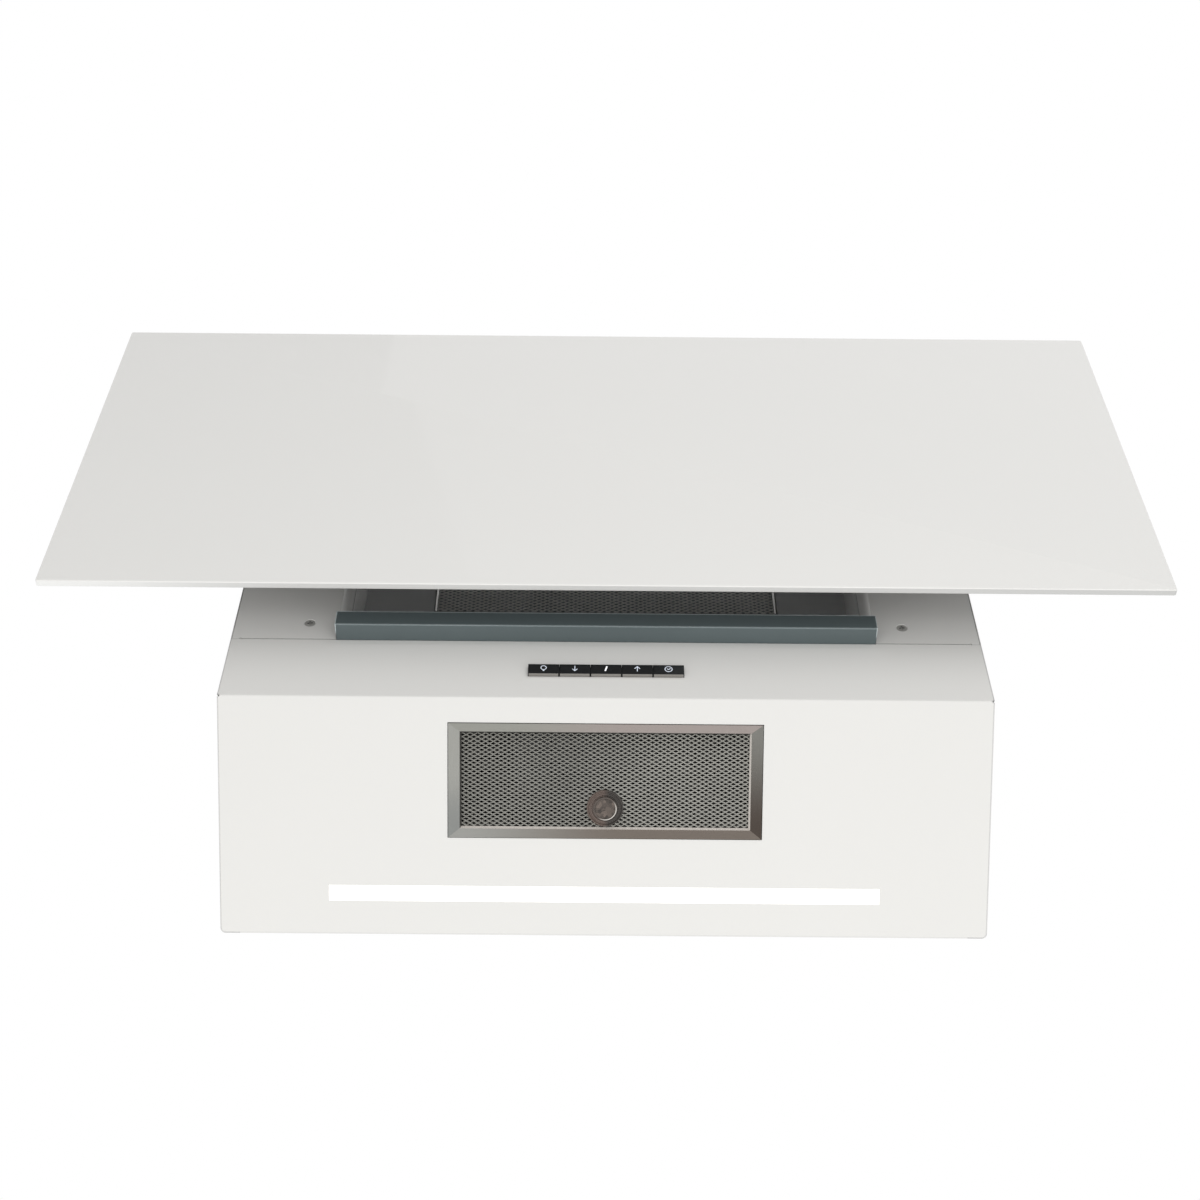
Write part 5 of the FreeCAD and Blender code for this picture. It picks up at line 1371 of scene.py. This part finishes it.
@dataclass
class FrontScrews:
    """Two cross-slotted screws that sit low in their countersinks."""

    offset: float = 238.4 * MM
    s: float = 91.1 * MM
    radius: float = 4.55 * MM
    top: float = -0.3 * MM
    head: float = 0.9 * MM
    round: float = 0.5 * MM
    slot_half: float = 2.2 * MM
    slot_width: float = 1.3 * MM
    slot_depth: float = 0.8 * MM
    shank: float = 2.0 * MM
    length: float = 11.0 * MM
    turn: float = math.radians(8)

    def build(self) -> None:
        """Models one screw, copies it and puts both in the place of the plain ones."""
        middle = Vector((0, 0, self.top - self.head / 2))
        head = Bench.disc("front_screw_pair", self.radius, self.head, middle)
        Bench.bevel(head, self.round, 2, lambda place, along: place.z > self.top - self.round / 2)
        for half, width in ((self.slot_half, self.slot_width / 2), (self.slot_width / 2, self.slot_half)):
            Bench.subtract(head, Bench.cube("slot", (-half, -width, self.top - self.slot_depth),
                                            (half, width, self.top + self.slot_depth)))
        floor = self.top - self.head
        # The sunk faces inside the cross slot get the dark finish: painted shade in the recess
        for face in head.data.polygons:
            inside = max(abs(face.center.x), abs(face.center.y)) < self.slot_half + self.round
            sunk = floor + self.round / 4 <= face.center.z < self.top - self.round / 4
            face.material_index = 1 if inside and sunk else 0
        Bench.smooth(head)
        FINISHES.dress(head, SCREW_HEAD, SHADED_SCREW_SLOT)
        shank = Bench.disc("shank", self.shank, self.length, Vector((0, 0, floor - self.length / 2)), 24)
        screw = Bench.join(head.name, [head, shank])
        screw.data.transform(Matrix.Rotation(self.turn, 4, "Z"))
        twin = Bench.copy(screw, "twin", Matrix.Translation((self.offset, self.s, 0)))
        screw.data.transform(Matrix.Translation((-self.offset, self.s, 0)))
        pair = Bench.join(head.name, [screw, twin])
        pair.data.transform(front_place())
        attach(pair, "housing")
        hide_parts("front_screws")


@dataclass(frozen=True)
class Lamp:
    """A soft lamp that shows in no reflection."""

    name: str
    place: Triple
    aim: Triple
    power: float
    size: tuple[float, float]

    def build(self) -> None:
        """Adds the lamp and turns it to its aim."""
        light = bpy.data.lights.new(self.name, "AREA")
        light.energy = self.power
        light.shape = "RECTANGLE"
        light.size, light.size_y = self.size
        lamp = bpy.data.objects.new(self.name, light)
        lamp.visible_glossy = False
        bpy.context.scene.collection.objects.link(lamp)
        lamp.location = self.place
        lamp.rotation_euler = (Vector(self.aim) - Vector(self.place)).to_track_quat("-Z", "Y").to_euler()


LAMPS = (Lamp("lamp_under", (0.1, 0.5, -1.8), aim=(0.0, -0.1, 0.0), power=40.0, size=(5.0, 2.2)),
         Lamp("lamp_low", (0.0, -1.1, -1.7), aim=(0.0, -0.25, 0.1), power=3.0, size=(1.6, 1.0)),
         Lamp("lamp_front", (1.1, -2.6, 0.1), aim=(0.0, -0.3, 0.2), power=11.0, size=(1.8, 1.8)))
PALE_FLOOR = Coat("pale_floor", (236, 236, 235), roughness=0.7, grain=60, bump=0.02, tone=0.01)
GREY_CARD = Coat("grey_card", (214, 214, 214), roughness=0.8, grain=40, bump=0.0, tone=0.02, glow=0.5)


@dataclass
class Studio:
    """Floor, light and camera around the hood."""

    floor_height: float = -2.1
    floor_size: float = 14.0
    sky: float = 0.61
    card_length: float = 3.2
    card_half: float = 1.6
    card_place: Triple = (-0.49, -2.13, 1.25)
    card_tilt: float = math.radians(60)
    lens: float = 58.59
    camera_place: Triple = (-9.1 * MM, -450.1 * MM, -1479.6 * MM)
    pitch: float = math.radians(82.83)
    yaw: float = math.radians(1.17)
    roll: float = math.radians(-0.68)

    def build(self) -> None:
        """Makes the floor, the world, the lamps and the camera."""
        self.world()
        self.floor()
        for lamp in LAMPS:
            lamp.build()
        self.card()
        self.camera()

    def world(self) -> None:
        """A plain white surround that the camera and reflections see at full strength."""
        world = bpy.data.worlds.new("surround")
        world.use_nodes = True
        bpy.context.scene.world = world
        wiring = Wiring(world.node_tree)
        path = wiring.node("LightPath", {})
        seen = wiring.math("MAXIMUM", path["Is Camera Ray"], path["Is Glossy Ray"])
        through = wiring.math("MAXIMUM", seen, path["Is Transmission Ray"])
        strength = wiring.node("MapRange", {"Value": through, "To Min": self.sky, "To Max": 1.0})
        back = wiring.tree.nodes["Background"]
        wiring.feed(back.inputs["Color"], (1.0, 1.0, 1.0, 1.0))
        wiring.feed(back.inputs["Strength"], strength["Result"])

    def floor(self) -> None:
        """A pale floor far below the hood, as the room has."""
        Bench.clear()
        bpy.ops.mesh.primitive_plane_add(size=self.floor_size, location=(0, 0, self.floor_height))
        floor = bpy.context.object
        floor.name = "floor"
        FINISHES.dress(floor, PALE_FLOOR)

    def card(self) -> None:
        """A grey card at the left that only reflections show, as a room's darker side."""
        card = Bench.plane("grey_card", (-self.card_length, -self.card_half, 0), (0, self.card_half, 0))
        card.data.transform(Matrix.Translation(self.card_place) @ Matrix.Rotation(self.card_tilt, 4, "X"))
        FINISHES.dress(card, GREY_CARD)
        card.visible_camera = False
        card.visible_diffuse = False
        card.visible_shadow = False

    def camera(self) -> None:
        """Puts the camera where the photograph was taken from."""
        base = Matrix.Rotation(math.radians(90) - self.pitch, 3, "X")
        rows = Matrix.Rotation(self.roll, 3, "Z") @ base @ Matrix.Rotation(self.yaw, 3, "Z")
        axes = Matrix((rows[0], -rows[1], -rows[2])).transposed()
        view = bpy.data.cameras.new("photo_view")
        view.lens = self.lens
        view.sensor_width = 36.0
        view.clip_start = 0.01
        camera = bpy.data.objects.new("photo_view", view)
        bpy.context.scene.collection.objects.link(camera)
        camera.matrix_world = Matrix.Translation(self.camera_place) @ axes.to_4x4()
        bpy.context.scene.camera = camera
        bpy.context.scene.view_settings.view_transform = "Standard"


def front_filter() -> GreaseFilter:
    """Gives the sizes and finishes of the long filter behind the glass.

    Returns:
        The filter, to be built.
    """
    pivot_s, face_n = 167.97 * MM, -47.5 * MM
    rails = {rail: FRONT_LIP if rail in (Rail.SHADED_LIP, Rail.LIT_LIP) else FRONT_RAIL for rail in Rail}
    return GreaseFilter("front", "front_filter", front_place(pivot_s, face_n), width=292.0 * MM,
                        length=228.0 * MM, side_rail=0.7 * MM, pivot_rail=2.0 * MM, catch_rail=2.0 * MM,
                        lip_width=1.3 * MM, lip_depth=0.9 * MM, cell_x=7.0 * MM, cell_t=4.2 * MM,
                        pivot_round=1.2 * MM, rails=rails, mesh=FRONT_MESH, under_mesh=FRONT_MESH)


def bottom_filter() -> GreaseFilter:
    """Gives the sizes and finishes of the filter in the bottom face, whose sheet has two layers.

    Returns:
        The filter, to be built.
    """
    pivot_y, face_z = -167.7 * MM, -0.5 * MM
    place = Matrix.Translation((0, pivot_y, face_z)) @ Matrix.Rotation(math.pi, 4, "Y")
    # Rails of one aluminium with their own tones and drifts (painted reflections and light); the lips are
    # painted lit or shaded
    rails = {Rail.LOW_X: RIGHT_RAIL, Rail.HIGH_X: LEFT_RAIL, Rail.PIVOT: PIVOT_RAIL,
             Rail.CATCH: CATCH_RAIL, Rail.SHADED_LIP: SHADED_LIP, Rail.LIT_LIP: LIT_LIP}
    return GreaseFilter("bottom", "bottom_filter", place, width=242.8 * MM, length=89.9 * MM,
                        side_rail=8.9 * MM, pivot_rail=6.4 * MM, catch_rail=7.2 * MM, lip_width=1.3 * MM,
                        lip_depth=2.6 * MM, cell_x=6.0 * MM, cell_t=3.4 * MM, strand=0.71 * MM,
                        rails=rails, mesh=MESH_ALUMINIUM, under_mesh=SHADED_UNDER_MESH, layers=2)


def main() -> None:
    """Builds the look of the hood in order and reports each part of the work."""
    logging.basicConfig(level=logging.INFO)
    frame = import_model()
    FINISHES.dress_nodes(frame["nodes"])
    GlassDoor().build()
    front_filter().build()
    bottom_filter().build()
    KeyRow().build()
    FrontScrews().build()
    LOG.info("glass, filters, keys and screws are in place")
    Studio().build()
    LOG.info("studio is up")


if __name__ == "__main__":
    main()
